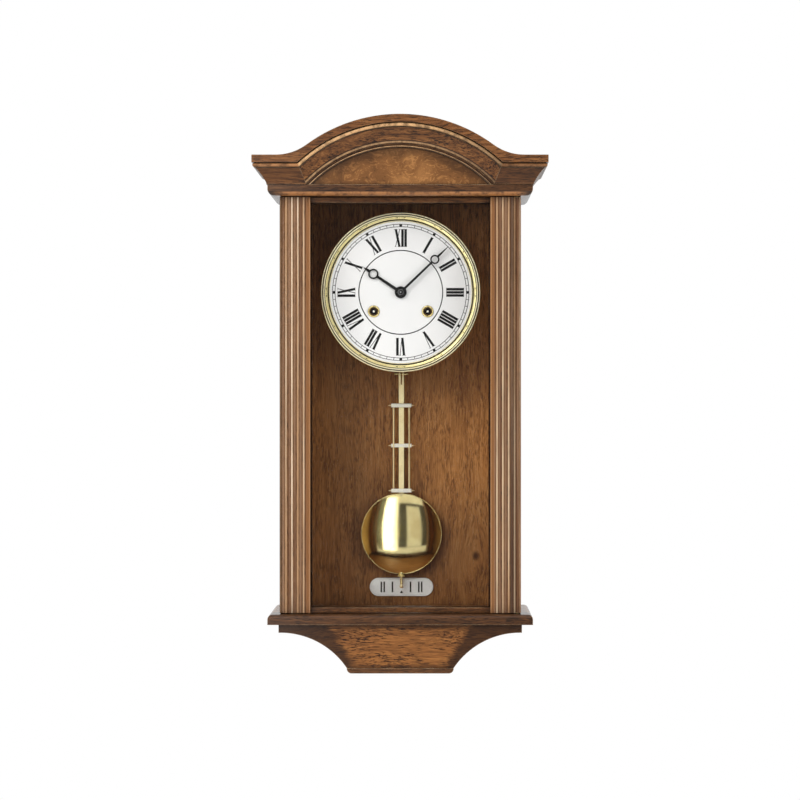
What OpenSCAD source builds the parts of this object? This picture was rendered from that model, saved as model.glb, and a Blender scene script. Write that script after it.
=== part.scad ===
// Wall regulator clock with a glazed front, an eight-day striking movement and a pendulum.
// Millimetres. The origin is the centre of the hanger hole on the wall plane.
// +X is to the right, the front faces -Y and +Z is up.

/* [Case] */
// Outside width of the case between its side panels
case_w = 287.4; // [260:1:320]
// Depth from the wall to the front of the door
case_d = 138.7; // [125:1:160]
// Height inside the case, from the shelf to the top board
case_h = 497; // [480:1:540]
// Depth of the hanger hole below the top board
hanger_down = 20.5; // [20:0.5:30]
// Thickness of the side panels
side_t = 14; // [10:1:18]
// Thickness of the back panel
back_t = 11; // [10:1:12]
// Thickness of the top board and of the moulding round it
top_t = 13; // [10:1:16]
// Thickness of the shelf
shelf_t = 12; // [8:1:16]
// How far the shelf and the top moulding stand out from the case
ledge = 13.6; // [10:0.5:18]
// Radius of the rounded edges of the shelf and the top moulding
ledge_r = 5.5; // [2:0.5:7]
// Radius of the lower arris of the moulding under the crown
base_r = 7.5; // [3:0.5:9]

/* [Crown] */
// Height of the moulded crown at the case sides
crown_h = 33.5; // [30:0.5:40]
// How far the crown stands out from the top moulding
crown_out = 17.7; // [14:0.5:22]
// Height of the plain fillet along the top of the crown
crown_fillet = 9; // [7:0.5:12]
// Height of the quirk that holds the bead
crown_quirk = 5.8; // [4:0.2:6.4]
// Gap above and below the bead in its quirk
bead_gap = 0.5; // [0.3:0.1:1]
// Radius of the shallow cove under the bead
crown_cove_r = 60; // [40:5:90]
// Rise of the arch above the crown's shoulders
arch_rise = 48; // [36:1:60]
// Outside radius of the arch
arch_r = 186; // [170:2:210]
// Radius of the two hollow sweeps that lead into the arch
sweep_r = 61; // [40:1:75]
// Width of the lip inside the arch moulding
arch_lip = 4.2; // [3:0.1:6]
// Thickness of the pediment backing board
pediment_t = 8; // [6:1:14]
// Depth of the arch moulding's recess, from the top moulding's face back to the backing board
crown_back = 5.3; // [4.5:0.1:6]
// Thickness of the burl panel
burl_t = 3; // [2:0.5:4]
// Thickness of the roof board
roof_t = 6; // [4:1:10]

/* [Apron] */
// Height of the apron's straight edge below the shelf
apron_edge = 9.8; // [6:0.2:14]
// Height of the apron from the shelf down to the foot
apron_h = 51.9; // [45:0.1:58]
// Radius of the apron's hollow sides
apron_cove_r = 95.2; // [85:1:110]
// How far the apron stands out sideways from the case
apron_out = 0.8; // [0:0.1:3]
// Distance of the apron's face behind the shelf's front edge
apron_back = 7.3; // [4:0.5:12]
// Thickness of the apron front
apron_t = 16; // [10:1:22]
// Thickness of the curved apron sides
apron_side_t = 12; // [10:1:16]
// Thickness of the foot
foot_t = 6.1; // [5:0.1:8]
// Radius of the foot's rounded ends
foot_r = 5.6; // [3:0.1:6]

/* [Door] */
// Width of the fluted stiles
stile_w = 36.4; // [30:0.2:42]
// Thickness of the stiles
stile_t = 20; // [16:1:24]
// Gap round the door
door_gap = 1; // [0.6:0.1:2]
// Number of flutes on each stile
flutes = 5; // [3:1:6]
// Width of the fillets between the flutes
fillet_w = 1.6; // [1:0.1:2.5]
// Depth of the flutes
flute_depth = 1.8; // [1:0.1:2.4]
// Radius of the rounded front edges of the stiles
stile_r = 2.4; // [1:0.1:4]
// Height of the slim door rails
rail_h = 6; // [4:0.5:10]
// Distance of the rails' face behind the stiles' face
rail_back = 7; // [4:0.5:10]
// Thickness of the glass
glass_t = 3; // [2:0.5:4]
// Depth of the groove that the glass stands in
glass_in = 4; // [2:0.5:5]
// Radius of the pivot pins
pivot_r = 2; // [1.5:0.1:3]
// How far the pivot pins stand out of the door
pivot_out = 7; // [4:0.5:9]
// Distance of the pivots from the stile's outer and back faces
pivot_in = 5; // [4.5:0.1:7]

/* [Dial] */
// Distance of the dial's centre below the top board
dial_down = 112.6; // [108:0.2:125]
// Radius of the white face inside the bezel
face_r = 85.5; // [76:0.1:95]
// Width of the bezel round the face
bezel_w = 10.8; // [9:0.1:14]
// Distance of the dial's face in front of the wall
face_y = 94; // [92:0.5:100]
// Thickness of the dial plate
dial_t = 1.5; // [1:0.1:2]
// Sideways distance of the winding holes from the centre
wind_x = 32.5; // [31:0.1:34]
// Distance of the winding holes below the centre
wind_z = 23; // [22:0.1:24]
// Outside radius of the winding hole grommets
grommet_r = 7.25; // [6.5:0.05:8]
// Distance of the minute hand's tip inside the edge of the face
minute_short = 5.5; // [4:0.5:14]
// Distance of the hour hand's tip inside the edge of the face
hour_short = 31.5; // [26:0.5:38]
// Place of the ring on the minute hand, as a share of its length
minute_ring = 0.7125; // [0.6:0.0025:0.8]
// Place of the ring on the hour hand, as a share of its length
hour_ring = 0.737; // [0.6:0.001:0.8]
// Minutes past twelve that the minute hand shows
minute_at = 7.7; // [0:0.1:59.9]
// Hours that the hour hand shows
hour_at = 10.128; // [0:0.001:11.999]

/* [Movement] */
// Height of the movement plates
plate_h = 120; // [116:1:126]
// Width of the movement plates
plate_w = 112; // [108:1:124]
// Height of the plates above the dial's centre
plate_up = 70; // [68:1:74]
// Thickness of the plates
plate_t = 2; // [1.5:0.1:2.5]
// Distance between the plates
plate_gap = 46; // [44:0.5:48]
// Length of the posts between the back panel and the movement
post_len = 23; // [22:0.5:26]
// Radius of the posts and pillars
post_r = 3.2; // [2.5:0.1:3.5]
// Radius of the wheel arbors
arbor_r = 1.2; // [1:0.05:1.4]
// Radius of the arbors' pivots
pin_r = 0.8; // [0.6:0.05:0.9]
// Running clearance between a pivot and its hole, on the radius
run_gap = 0.05; // [0.02:0.01:0.08]
// Outside radius of the spring barrels
barrel_r = 19.5; // [17:0.1:19.6]
// Radius of the winding arbors
wind_r = 3; // [2.5:0.1:3.2]
// Width across the winding squares
square_w = 4.2; // [3.4:0.1:4.2]

/* [Pendulum] */
// Height of the suspension above the dial's centre
susp_up = 46; // [44:0.5:48]
// Distance of the pendulum's plane in front of the wall
pend_y = 24; // [23:0.5:25]
// Height of the bob's centre above the shelf
bob_up = 89.6; // [84:0.2:110]
// Radius of the bob
bob_r = 50; // [44:0.5:54]
// Height of the bob's front dome
bob_dome = 10; // [6:0.5:14]
// Height of the bob's back dome
bob_back = 4; // [2:0.5:5]
// Thickness of the bob's rim
bob_rim = 2; // [1.5:0.1:3]
// Distance of the upper crossbar below the dial's centre
bar_down = 136.6; // [125:0.2:150]
// Place of the middle crossbar between the other two
bar_mid = 0.471; // [0.3:0.001:0.7]
// Gap between the lower crossbar and the bob
bar_gap = 0.9; // [0.8:0.1:4]
// Width of the pendulum rod
rod_w = 6.4; // [5:0.1:8]
// Thickness of the pendulum rod
rod_t = 1.2; // [1:0.1:1.6]
// Distance of the side rods from the middle
side_rod_x = 9.6; // [8:0.1:11]
// Radius of the side rods
side_rod_r = 1.1; // [0.8:0.1:1.3]
// Radius of the threaded tip
tip_r = 1.9; // [1.5:0.1:2.2]
// How far the tip reaches below the bob
tip_down = 17.4; // [13:0.2:20]
// Radius of the rating nut
nut_r = 4.35; // [3.5:0.05:6]
// Height of the rating nut
nut_h = 3.2; // [2.5:0.1:4]
// How far the rating nut can let the bob down
bob_travel = 8; // [2:0.5:10]
// Width of the beat plate
beat_w = 78.8; // [70:0.2:84]
// Height of the beat plate
beat_h = 22.7; // [18:0.1:26]
// Height of the beat plate's centre above the shelf
beat_up = 22.9; // [16:0.1:30]

/* [Hidden] */
$fn = 96;

// Levels of the case
ceiling_z = hanger_down;
floor_z = ceiling_z - case_h;
crown_z = ceiling_z + top_t;
shoulder_z = crown_z + crown_h;
half_w = case_w / 2;
inner_w = half_w - side_t;
stile_front = -case_d;
stile_back = stile_front + stile_t;
panel_front = stile_back + door_gap;
ledge_w = half_w + ledge;
ledge_front = stile_front - ledge;
crown_front = ledge_front - crown_out;
crown_w = ledge_w + crown_out;
fit = 0.02;

// Hanger plate, its recess in the back panel and the pocket behind the hole
hanger_t = 1.5;
hanger_half = 13;
hanger_high = 19;
hanger_r = 5;
hanger_slot = 2.5;
slot_up = 10;
pocket_half = 9;
pocket_high = 14;
pocket_deep = 8;

// The arch: its centre, and where it meets the straight mouldings
arch_z = shoulder_z + arch_rise - arch_r;
sweep_x = sqrt(pow(arch_r + sweep_r, 2) - pow(shoulder_z + sweep_r - arch_z, 2));
backing_front = ledge_front + crown_back;
backing_back = backing_front + pediment_t;
arch_in = crown_h + arch_lip;
function mitre_x(d) = sqrt(pow(arch_r - d, 2) - pow(shoulder_z - d - arch_z, 2));
sweep_at = [sweep_x, shoulder_z + sweep_r];
join_at = [0, arch_z] + arch_r * (sweep_at - [0, arch_z]) / (arch_r + sweep_r);

// The crown's section: d is the depth below its top and p is how far it stands out
bead_in = 3.4;
bead_r = crown_quirk / 2 - bead_gap;
bead_p = crown_out - bead_in;
quirk_in = 4.2;
cove_top = [crown_out - quirk_in, crown_fillet + crown_quirk];
cove_end = [1.2, crown_h - 1.5];
return_in = 7.2;
lip_back = 0.6;
lip_bead = 1.5;
roof_z = shoulder_z - crown_fillet;
block_x = 58;
block_w = 12;
block_h = 20;

// The apron: its hollow sides and its foot
apron_w = half_w + apron_out;
apron_front_y = ledge_front + apron_back;
apron_top = floor_z - shelf_t;
apron_low = apron_top - apron_h;
apron_step = 2.1;
cove_z = apron_top - apron_edge - apron_cove_r;
cove_x = apron_w - apron_step;
foot_w = cove_x - sqrt(pow(apron_cove_r, 2) - pow(apron_low - cove_z, 2));
foot_proud = 1.5;

// The door
open_w = half_w - stile_w;
pivot_x = half_w - pivot_in;
pivot_y = stile_back - pivot_in;
door_low = floor_z + door_gap;
door_high = ceiling_z - door_gap;
rail_front = stile_front + rail_back;
glass_front = rail_front + glass_t;
glass_back = glass_front + glass_t;
stop_t = stile_back - glass_back;
bush_r = 4;
bush_rim = 1;
pivot_sunk = 20;
glass_slack = 0.2;
stop_in = 2;
stop_lip = 1;
catch_z = floor_z + case_h / 2;
catch_h = 24;
catch_w = 11;
catch_t = 1;
magnet_l = 17.2;
magnet_gap = 0.8;

// The dial and the movement, as heights and planes
dial_z = ceiling_z - dial_down;
back_plate_y = -back_t - post_len;
w0 = back_plate_y - plate_t;
front_plate_y = w0 - plate_gap;
front_face_y = front_plate_y - plate_t;
susp_z = dial_z + susp_up;
bob_z = floor_z + bob_up;
bezel_r = face_r + bezel_w;
bezel_skirt = 8;
face_lap = 2.5;
grommet_w = 2.2;
grommet_lip = 0.9;
grommet_t = 0.4;
bezel_wall = 1.6;
bezel_bead = 1.3;
plate_x = plate_w / 2;
plate_low = plate_up - plate_h;
post_in = 6;
post_x = plate_x - post_in;
post_high = plate_up - post_in;
post_low = plate_low + post_in;
tenon_r = post_r - 1;
nut_t = 2.6;

// Wheels: module, teeth and arbor places, worked out round the centre arbor
function meet(a, ra, b, rb, side) =
    let (d = norm(b - a), u = (b - a) / d, t = (ra * ra + d * d - rb * rb) / (2 * d),
        h = sqrt(ra * ra - t * t))
    a + u * t + [-u[1], u[0]] * h * side;
function gear_gap(m, n1, n2) = m * (n1 + n2) / 2;
m_great = 0.6;
n_great = 72;
n_second_pinion = 12;
m_second = 0.6;
n_second = 60;
n_centre_pinion = 10;
m_centre = 0.45;
n_centre = 80;
n_third_pinion = 8;
m_third = 0.4;
n_third = 60;
n_escape_pinion = 8;
n_escape = 42;
escape_r = 10;
m_strike = 0.5;
n_strike_pinion = 10;
m_warn = 0.45;
n_warn = 56;
n_fly_pinion = 8;
m_motion = 0.5;
n_cannon = 12;
n_minute = 36;
n_minute_pinion = 10;
n_hour = 40;
n_ratchet = 24;

centre_at = [0, 0];
time_at = [wind_x, -wind_z];
strike_at = [-wind_x, -wind_z];
escape_at = [0, 31];
anchor_at = [0, susp_up];
second_at = meet(centre_at, gear_gap(m_second, n_second, n_centre_pinion), time_at,
    gear_gap(m_great, n_great, n_second_pinion), 1);
third_at = meet(centre_at, gear_gap(m_centre, n_centre, n_third_pinion), escape_at,
    gear_gap(m_third, n_third, n_escape_pinion), -1);
strike_second_at = strike_at + gear_gap(m_great, n_great, n_second_pinion) * [cos(100), sin(100)];
strike_third_at = strike_second_at + gear_gap(m_strike, n_second, n_strike_pinion)
    * [cos(80), sin(80)];
fly_at = strike_third_at + gear_gap(m_warn, n_warn, n_fly_pinion) * [cos(60), sin(60)];
minute_arbor_at = [0, gear_gap(m_motion, n_cannon, n_minute)];
m_hour = 2 * minute_arbor_at[1] / (n_minute_pinion + n_hour);
hammer_at = [4 - plate_x, 30];
ARBORS = [second_at, third_at, escape_at, strike_second_at, strike_third_at, fly_at, hammer_at];
POSTS = [[post_x, post_high], [-post_x, post_high], [post_x, post_low], [-post_x, post_low]];
foot_in = 12;
FEET = [[plate_x - foot_in, plate_up - foot_in], [foot_in - plate_x, plate_up - foot_in],
    [wind_x / 2, plate_low + 7], [-wind_x / 2, plate_low + 7]];
feet_r = 2;

// Levels between the plates, measured forward from the back plate
second_w = 2;
great_w = 6.5;
great_t = 2.5;
drum_w = 29;
drum_wall = 1;
centre_w = 13;
third_w = 23;
escape_w = 4.5;
wheel_t = 1.5;
thin_t = 1;
arm_w = 1.6;
rim_w = 1.8;
grip_r = 0.5;
pinion_w = 7;
end_shake = 0.3;

// Hands
minute_y = -face_y - 5.5;
hour_y = -face_y - 2.5;
hand_t = 1;
cannon_r = 2;
pipe_r = 3.2;
hour_boss_r = 7.15;
minute_boss_r = 4.6;
minute_len = face_r - minute_short;
hour_len = face_r - hour_short;
ring_w = 1.8;
ring_r = 5.6;
minute_turn = -minute_at * 6;
hour_turn = -hour_at * 30;
square_end = face_y - 2;

// Ratchets and clicks on the front plate, and the stud of the minute wheel
stud_r = 1;
ratchet_w = 2.7;
ratchet_t = 2;
ratchet_tip = 8;
ratchet_root = 6.8;
click_reach = 2 * ratchet_tip;
click_turn = -60;
click_tip_turn = -122;
click_stud = click_reach * [cos(click_turn), sin(click_turn)];
ratchet_phase = click_tip_turn - 2.6;
minute_w = 2.2;
hour_w = 5.4;

// Where each wheel's teeth start, so that every pair is in mesh
second_phase = mesh_phase(time_at, n_great, 0, second_at, n_second_pinion);
centre_pinion_phase = mesh_phase(second_at, n_second, second_phase, centre_at, n_centre_pinion);
third_phase = mesh_phase(centre_at, n_centre, 0, third_at, n_third_pinion);
escape_phase = mesh_phase(third_at, n_third, third_phase, escape_at, n_escape_pinion);
minute_phase = mesh_phase(centre_at, n_cannon, 0, minute_arbor_at, n_minute);
hour_phase = mesh_phase(minute_arbor_at, n_minute_pinion, minute_phase, centre_at, n_hour);
strike_second_phase = mesh_phase(strike_at, n_great, 0, strike_second_at, n_second_pinion);
strike_third_phase = mesh_phase(strike_second_at, n_second, strike_second_phase, strike_third_at,
    n_strike_pinion);
fly_phase = mesh_phase(strike_third_at, n_warn, strike_third_phase, fly_at, n_fly_pinion);

// The verge: its pallets round the escape wheel and its crutch behind the back plate
pallet = escape_at + escape_r * [1.02, 0.66];
pallet_w = 2.2;
pallet_h = 3.9;
crutch_w = -plate_t - 0.6;
crutch_t = 1.2;
crutch_pin_r = 0.7;
cheek_t = 4;
slot_y = 4;
cock_front = -pend_y - slot_y / 2;
cock_half = 6;
cock_high = 8;
cock_low = 5;

// Gong
gong_at = [0, 10];
gong_y = -15;
gong_wire_r = 1.4;
gong_r = 45;
gong_turns = 3;
gong_pitch = 6;
gong_block = 10;
head_r = 4;
head_len = 9;
head_gap = 1.6;
head_z = gong_at[1] + 1;

// Pendulum
leader_w = 4;
leader_end = -97.8;
hook_r = 2.3;
cross_r = 1.1;
cross_half = 8.5;
strap_up = 8;
tongue_w = 1.4;
fork_w = 1.6;
fork_down = 13;
crutch_z = susp_up - 34;
bar_h = 4.4;
bar_half = 12.6;
bar_t = 3.4;
bar_tip = 4.7;
low_bar_z = bob_z + bob_r + bar_gap + bar_h / 2;
BARS = [dial_z - bar_down, dial_z - bar_down + bar_mid * (low_bar_z - dial_z + bar_down), low_bar_z];
rod_end = bob_z - 0.6 * bob_r;
slide_gap = 0.05;
bob_rise = 2;
tip_low = bob_z - bob_r - tip_down;

// Drawing helpers: a flat shape in x and z, pushed forward from the plane y
module facing(y, t) translate([0, y, 0]) rotate([90, 0, 0]) linear_extrude(t) children();
module across(x, len) translate([x, 0, 0]) rotate([90, 0, 90]) linear_extrude(len) children();
module at_dial() translate([0, 0, dial_z]) children();
module level(at, w, t) at_dial() facing(w0 - w, t) translate(at) children();
module disc(at, w, t, r) level(at, w, t) circle(r);
module slab(x0, x1, y0, y1, z0, z1) translate([x0, y0, z0]) cube([x1 - x0, y1 - y0, z1 - z0]);
module both_ways() {
    children();
    mirror([1, 0, 0]) children();
}
module turned(y) at_dial() translate([0, y, 0]) rotate([90, 0, 0]) rotate_extrude() children();

// A toothed outline: flat-topped tapering teeth on a root circle
module gear_outline(m, n, phase = 0) {
    tip = m * n / 2 + 0.85 * m;
    root = m * n / 2 - 1.15 * m;
    step = 360 / n;
    polygon([for (i = [0:n - 1]) for (k = [[root, -0.31], [tip, -0.13], [tip, 0.13], [root, 0.31]])
        k[0] * [cos(phase + (i + k[1]) * step), sin(phase + (i + k[1]) * step)]]);
}
// The phase that puts a gear in mesh with a neighbour whose own phase is known
function mesh_phase(from, n1, phase1, to, n2) =
    let (a = atan2(to[1] - from[1], to[0] - from[0]))
    a + 180 + 180 / n2 + (a - phase1) * n1 / n2;
// A wheel with its rim, crossings and hub
module wheel_outline(m, n, phase, arms, hub, bore) {
    rim = m * n / 2 - 1.15 * m - rim_w;
    difference() {
        gear_outline(m, n, phase);
        difference() {
            circle(rim);
            circle(hub);
            for (i = [0:arms - 1]) rotate(phase + i * 360 / arms)
                translate([0, -arm_w / 2]) square([rim + 1, arm_w]);
        }
        circle(bore);
    }
}
// A saw-toothed outline for ratchets and the escape wheel
module saw_outline(n, tip, root, phase = 0) {
    step = 360 / n;
    polygon([for (i = [0:n - 1]) for (k = [[tip, 0], [root, 0.12]])
        k[0] * [cos(phase + (i + k[1]) * step), sin(phase + (i + k[1]) * step)]]);
}
// An arbor between the plates, with its two pivots
module arbor(at, r = arbor_r) {
    disc(at, end_shake, plate_gap - 2 * end_shake, r);
    disc(at, -plate_t, plate_gap + 2 * plate_t, pin_r);
}

// Case
module back_panel() color("saddlebrown") difference() {
    slab(-inner_w, inner_w, -back_t, 0, floor_z, ceiling_z);
    slab(-hanger_half, hanger_half, -hanger_t, 1, -hanger_half, hanger_high);
    slab(-pocket_half, pocket_half, -pocket_deep, 1, -pocket_half, pocket_high);
}
module side_panels() color("sienna") both_ways()
    slab(inner_w, half_w, panel_front, 0, floor_z, ceiling_z);
module top_board() color("sienna") difference() {
    slab(-half_w, half_w, stile_front, 0, ceiling_z, crown_z);
    translate([pivot_x, pivot_y, ceiling_z - 1])
        cylinder(r = bush_r, h = pivot_out + bush_rim + 1);
}
// A board whose front and two ends carry the same moulded edge
module edged_board(low, high) intersection() {
    across(-crown_w - 1, 2 * crown_w + 2) difference() {
        translate([ledge_front - crown_out, low]) square([-ledge_front + crown_out, high - low]);
        translate([ledge_front, 0]) mirror([1, 0]) children();
    }
    facing(0, case_d + crown_w) difference() {
        translate([-crown_w, low]) square([2 * crown_w, high - low]);
        both_ends() translate([ledge_w, 0]) children();
    }
}
module both_ends() {
    children();
    mirror([1, 0]) children();
}
// What is cut away outside a plain edge with one rounded arris
module round_edge(low, high, top, r) difference() {
    translate([-r, low - 1]) square([crown_out + r + 1, high - low + 2]);
    translate([-r - 1, low]) square([1, high - low]);
    translate([-r - 1, top ? low - 2 : low + r]) square([r + 1, high - low - r + 2]);
    translate([-r, top ? high - r : low + r]) circle(r);
}
module base_moulding() color("peru") difference() {
    edged_board(ceiling_z, crown_z) round_edge(ceiling_z, crown_z, false, base_r);
    slab(-half_w, half_w, stile_front, 1, ceiling_z - 1, crown_z + 1);
}
module shelf_board() color("peru") difference() {
    edged_board(floor_z - shelf_t, floor_z)
        round_edge(floor_z - shelf_t, floor_z, true, ledge_r);
    translate([pivot_x, pivot_y, floor_z - pivot_out - bush_rim])
        cylinder(r = bush_r, h = pivot_out + bush_rim + 1);
}

// Crown
module pediment_outline() {
    translate([-crown_w, crown_z]) square([2 * crown_w, crown_h]);
    intersection() {
        translate([0, arch_z]) circle(arch_r, $fn = 180);
        translate([-join_at[0], crown_z + 1]) square([2 * join_at[0], crown_h + arch_rise]);
    }
    both_ends() difference() {
        polygon([[join_at[0] - 1, crown_z + 1], [sweep_x, crown_z + 1], [sweep_x, shoulder_z],
            join_at, [join_at[0] - 1, join_at[1]]]);
        translate(sweep_at) circle(sweep_r);
    }
}
module arch_field() {
    low = crown_z - 1;
    polygon([[-mitre_x(0), shoulder_z], [-mitre_x(crown_h), crown_z], [-mitre_x(crown_h), low],
        [mitre_x(crown_h), low], [mitre_x(crown_h), crown_z], [mitre_x(0), shoulder_z],
        [mitre_x(0), arch_z + arch_r + 1], [-mitre_x(0), arch_z + arch_r + 1]]);
}
// The crown's moulded section, standing out from p = -back, with d measured down from the top
module crown_section(back, top_d) difference() {
    union() {
        translate([-back, -crown_h]) square([back + cove_end[0], crown_h - top_d]);
        translate([-back, -crown_fillet - crown_quirk])
            square([back + bead_p, crown_fillet + crown_quirk - top_d]);
        if (top_d < crown_fillet)
            translate([-back, -crown_fillet]) square([back + crown_out, crown_fillet - top_d]);
        translate([bead_p, -crown_fillet - crown_quirk / 2]) circle(bead_r);
        cove_fill();
    }
}
module cove_fill() {
    mid = meet([cove_end[0], -cove_end[1]], crown_cove_r, [cove_top[0], -cove_top[1]],
        crown_cove_r, -1);
    difference() {
        polygon([[0, -cove_end[1]], [cove_end[0], -cove_end[1]], [cove_top[0], -cove_top[1]],
            [0, -cove_top[1]]]);
        translate(mid) circle(crown_cove_r);
    }
}
module crown_cut() difference() {
    translate([-crown_back, crown_z - 1]) square([crown_back + crown_out + 1, crown_h + 2]);
    translate([0, shoulder_z]) crown_section(crown_back + 1, 0);
    translate([-crown_back - 1, crown_z - 1]) square([crown_back + 1, crown_h + 2]);
}
module pediment_board() color("peru") {
    difference() {
        facing(backing_front, backing_front - crown_front) pediment_outline();
        facing(backing_front + 1, backing_front - crown_front + 2) {
            translate([-crown_w - 1, crown_z - 1])
                square([2 * crown_w + 2, crown_h - crown_fillet + 1]);
            intersection() {
                translate([0, arch_z]) circle(arch_r - crown_fillet, $fn = 180);
                arch_field();
            }
        }
    }
    facing(backing_back, pediment_t) intersection() {
        pediment_outline();
        translate([-ledge_w + return_in, crown_z])
            square([2 * (ledge_w - return_in), crown_h + arch_rise]);
    }
}
module arch_moulding() color("burlywood") intersection() {
    translate([0, backing_front, arch_z]) rotate([90, 0, 0]) rotate_extrude($fn = 180)
        translate([arch_r, crown_back]) mirror([1, -1]) arch_section();
    facing(0, -crown_front + 1) intersection() {
        arch_field();
        translate([-crown_w, crown_z]) square([2 * crown_w, crown_h + arch_rise]);
    }
}
module arch_section() {
    crown_section(crown_back, crown_fillet);
    translate([-crown_back, -arch_in]) square([crown_back - lip_back, arch_lip]);
    translate([-lip_back - 1, -arch_in + lip_bead]) circle(lip_bead);
}
module cornice_mouldings() color("peru") difference() {
    edged_board(crown_z, shoulder_z) crown_cut();
    slab(-ledge_w + return_in, ledge_w - return_in, backing_front, 1, crown_z - 1, shoulder_z + 1);
    slab(-crown_w - 1, crown_w + 1, crown_front - 1, backing_front, roof_z, shoulder_z + 1);
    facing(backing_front, crown_w) arch_field();
}
module burl_panel() color("chocolate") facing(backing_front, burl_t) intersection() {
    translate([0, arch_z]) circle(arch_r - arch_in - fit, $fn = 180);
    translate([-crown_w, crown_z]) square([2 * crown_w, arch_r]);
}
module crown_roof() color("saddlebrown")
    slab(-ledge_w + return_in, ledge_w - return_in, backing_back, 0, roof_z, roof_z + roof_t);
// The back rail under the roof, and two glue blocks behind the pediment
module crown_blocks() color("tan") {
    slab(-ledge_w + return_in, ledge_w - return_in, -back_t, 0, crown_z, roof_z);
    z = roof_z + roof_t;
    both_ways() across(block_x, block_w)
        polygon([[backing_back, z], [backing_back + block_h, z], [backing_back, z + block_h]]);
}

// Apron
module apron_outline() difference() {
    translate([-apron_w, apron_low]) square([2 * apron_w, apron_top - apron_low]);
    both_ends() {
        translate([cove_x, cove_z]) circle(apron_cove_r, $fn = 180);
        translate([cove_x, apron_low - 1]) square([10, apron_top - apron_edge - apron_low + 1]);
    }
}
module apron_front() color("sienna") facing(apron_front_y + apron_t, apron_t) apron_outline();
module apron_sides() color("sienna") facing(0, -apron_front_y - apron_t) intersection() {
    apron_outline();
    both_ends() {
        translate([cove_x, cove_z]) circle(apron_cove_r + apron_side_t, $fn = 180);
        translate([cove_x, apron_low]) square([10, apron_h]);
    }
}
module apron_foot() color("peru") facing(0, foot_proud - apron_front_y) difference() {
    translate([-foot_w, apron_low - foot_t]) square([2 * foot_w, foot_t]);
    both_ends() difference() {
        translate([foot_w - foot_r, apron_low - foot_t - 1]) square([foot_r + 1, foot_r + 1]);
        translate([foot_w - foot_r, apron_low - foot_t + foot_r]) circle(foot_r);
    }
}

// Small case fittings
module hanger_plate() color("silver") facing(0, hanger_t) difference() {
    translate([fit - hanger_half, fit - hanger_half])
        square([2 * (hanger_half - fit), hanger_high + hanger_half - 2 * fit]);
    circle(hanger_r);
    translate([-hanger_slot, 0]) square([2 * hanger_slot, slot_up]);
    translate([0, slot_up]) circle(hanger_slot);
}
module beat_plate() color("silver") facing(-back_t, 1) translate([0, floor_z + beat_up]) {
    square([beat_w - beat_h, beat_h], center = true);
    for (s = [-1, 1]) translate([s * (beat_w - beat_h) / 2, 0]) circle(beat_h / 2);
}
module bush(z) translate([pivot_x, pivot_y, z]) difference() {
    cylinder(r = bush_r, h = pivot_out + bush_rim);
    translate([0, 0, -1]) cylinder(r = pivot_r + run_gap, h = pivot_out + bush_rim + 2);
}
module pivot_bushes() color("gold") {
    bush(ceiling_z);
    bush(floor_z - pivot_out - bush_rim);
}
module catch_magnet() color("dimgray")
    slab(-inner_w, -inner_w + catch_w, stile_back + magnet_gap, stile_back + magnet_gap + magnet_l,
        catch_z - catch_h / 2, catch_z + catch_h / 2);

// Door
module stile_section() difference() {
    translate([open_w, stile_front]) square([stile_w, stile_t]);
    pitch = (stile_w - fillet_w) / flutes;
    chord = pitch - fillet_w;
    r = (chord * chord / 4 + flute_depth * flute_depth) / (2 * flute_depth);
    for (i = [0:flutes - 1])
        translate([open_w + fillet_w / 2 + (i + 0.5) * pitch, stile_front + flute_depth - r])
            circle(r);
    arris(half_w, stile_front, stile_r, [-1, 1]);
    translate([open_w - 1, glass_front]) square([1 + glass_in, stile_t]);
}
// What rounding an arris at x, y takes away, where way points into the wood
module arris(x, y, r, way) translate([x, y]) mirror([way[0] < 0 ? 1 : 0, 0])
    mirror([0, way[1] < 0 ? 1 : 0]) difference() {
        translate([-1, -1]) square(r + 1);
        translate([r, r]) circle(r);
    }
module stile_bar() translate([0, 0, door_low]) linear_extrude(door_high - door_low)
    stile_section();
module door_stile_left() color("peru") difference() {
    mirror([1, 0, 0]) stile_bar();
    slab(-inner_w - fit, -inner_w + catch_w + fit, stile_back - catch_t, stile_back + 1,
        catch_z - catch_h / 2, catch_z + catch_h / 2);
}
module door_stile_right() color("peru") difference() {
    stile_bar();
    translate([0, 0, door_low - 1]) linear_extrude(case_h)
        arris(half_w, stile_back, pivot_in, [-1, -1]);
    for (z = [door_low - 1, door_high - pivot_sunk])
        translate([pivot_x, pivot_y, z]) cylinder(r = pivot_r + fit, h = pivot_sunk + 1);
}
module door_pivots() color("gold") {
    translate([pivot_x, pivot_y, door_low - pivot_out])
        cylinder(r = pivot_r, h = pivot_out + pivot_sunk - 1);
    translate([pivot_x, pivot_y, door_high - pivot_sunk])
        cylinder(r = pivot_r, h = pivot_out + pivot_sunk);
}
module rail(z) difference() {
    slab(-open_w + fit, open_w - fit, rail_front, stile_back, z, z + rail_h);
    slab(-open_w - 1, open_w + 1, glass_front, stile_back + 1, z < dial_z ? z + rail_h - glass_in
        : z - 1, z < dial_z ? z + rail_h + 1 : z + glass_in);
}
module door_rails() color("peru") {
    rail(door_low);
    rail(door_high - rail_h);
}
module door_glass() color("lightcyan", 0.3)
    slab(-open_w - glass_in + glass_slack, open_w + glass_in - glass_slack, glass_front,
        glass_back, door_low + rail_h - glass_in + glass_slack,
        door_high - rail_h + glass_in - glass_slack);
module glass_stops() color("peru") {
    low = door_low + rail_h - glass_in;
    high = door_high - rail_h + glass_in;
    both_ways()
        slab(open_w - stop_in, open_w + glass_in, glass_back, stile_back, low, high);
    for (z = [low, high - glass_in - stop_lip])
        slab(stop_in - open_w, open_w - stop_in, glass_back, stile_back, z,
            z + glass_in + stop_lip);
}
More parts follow.
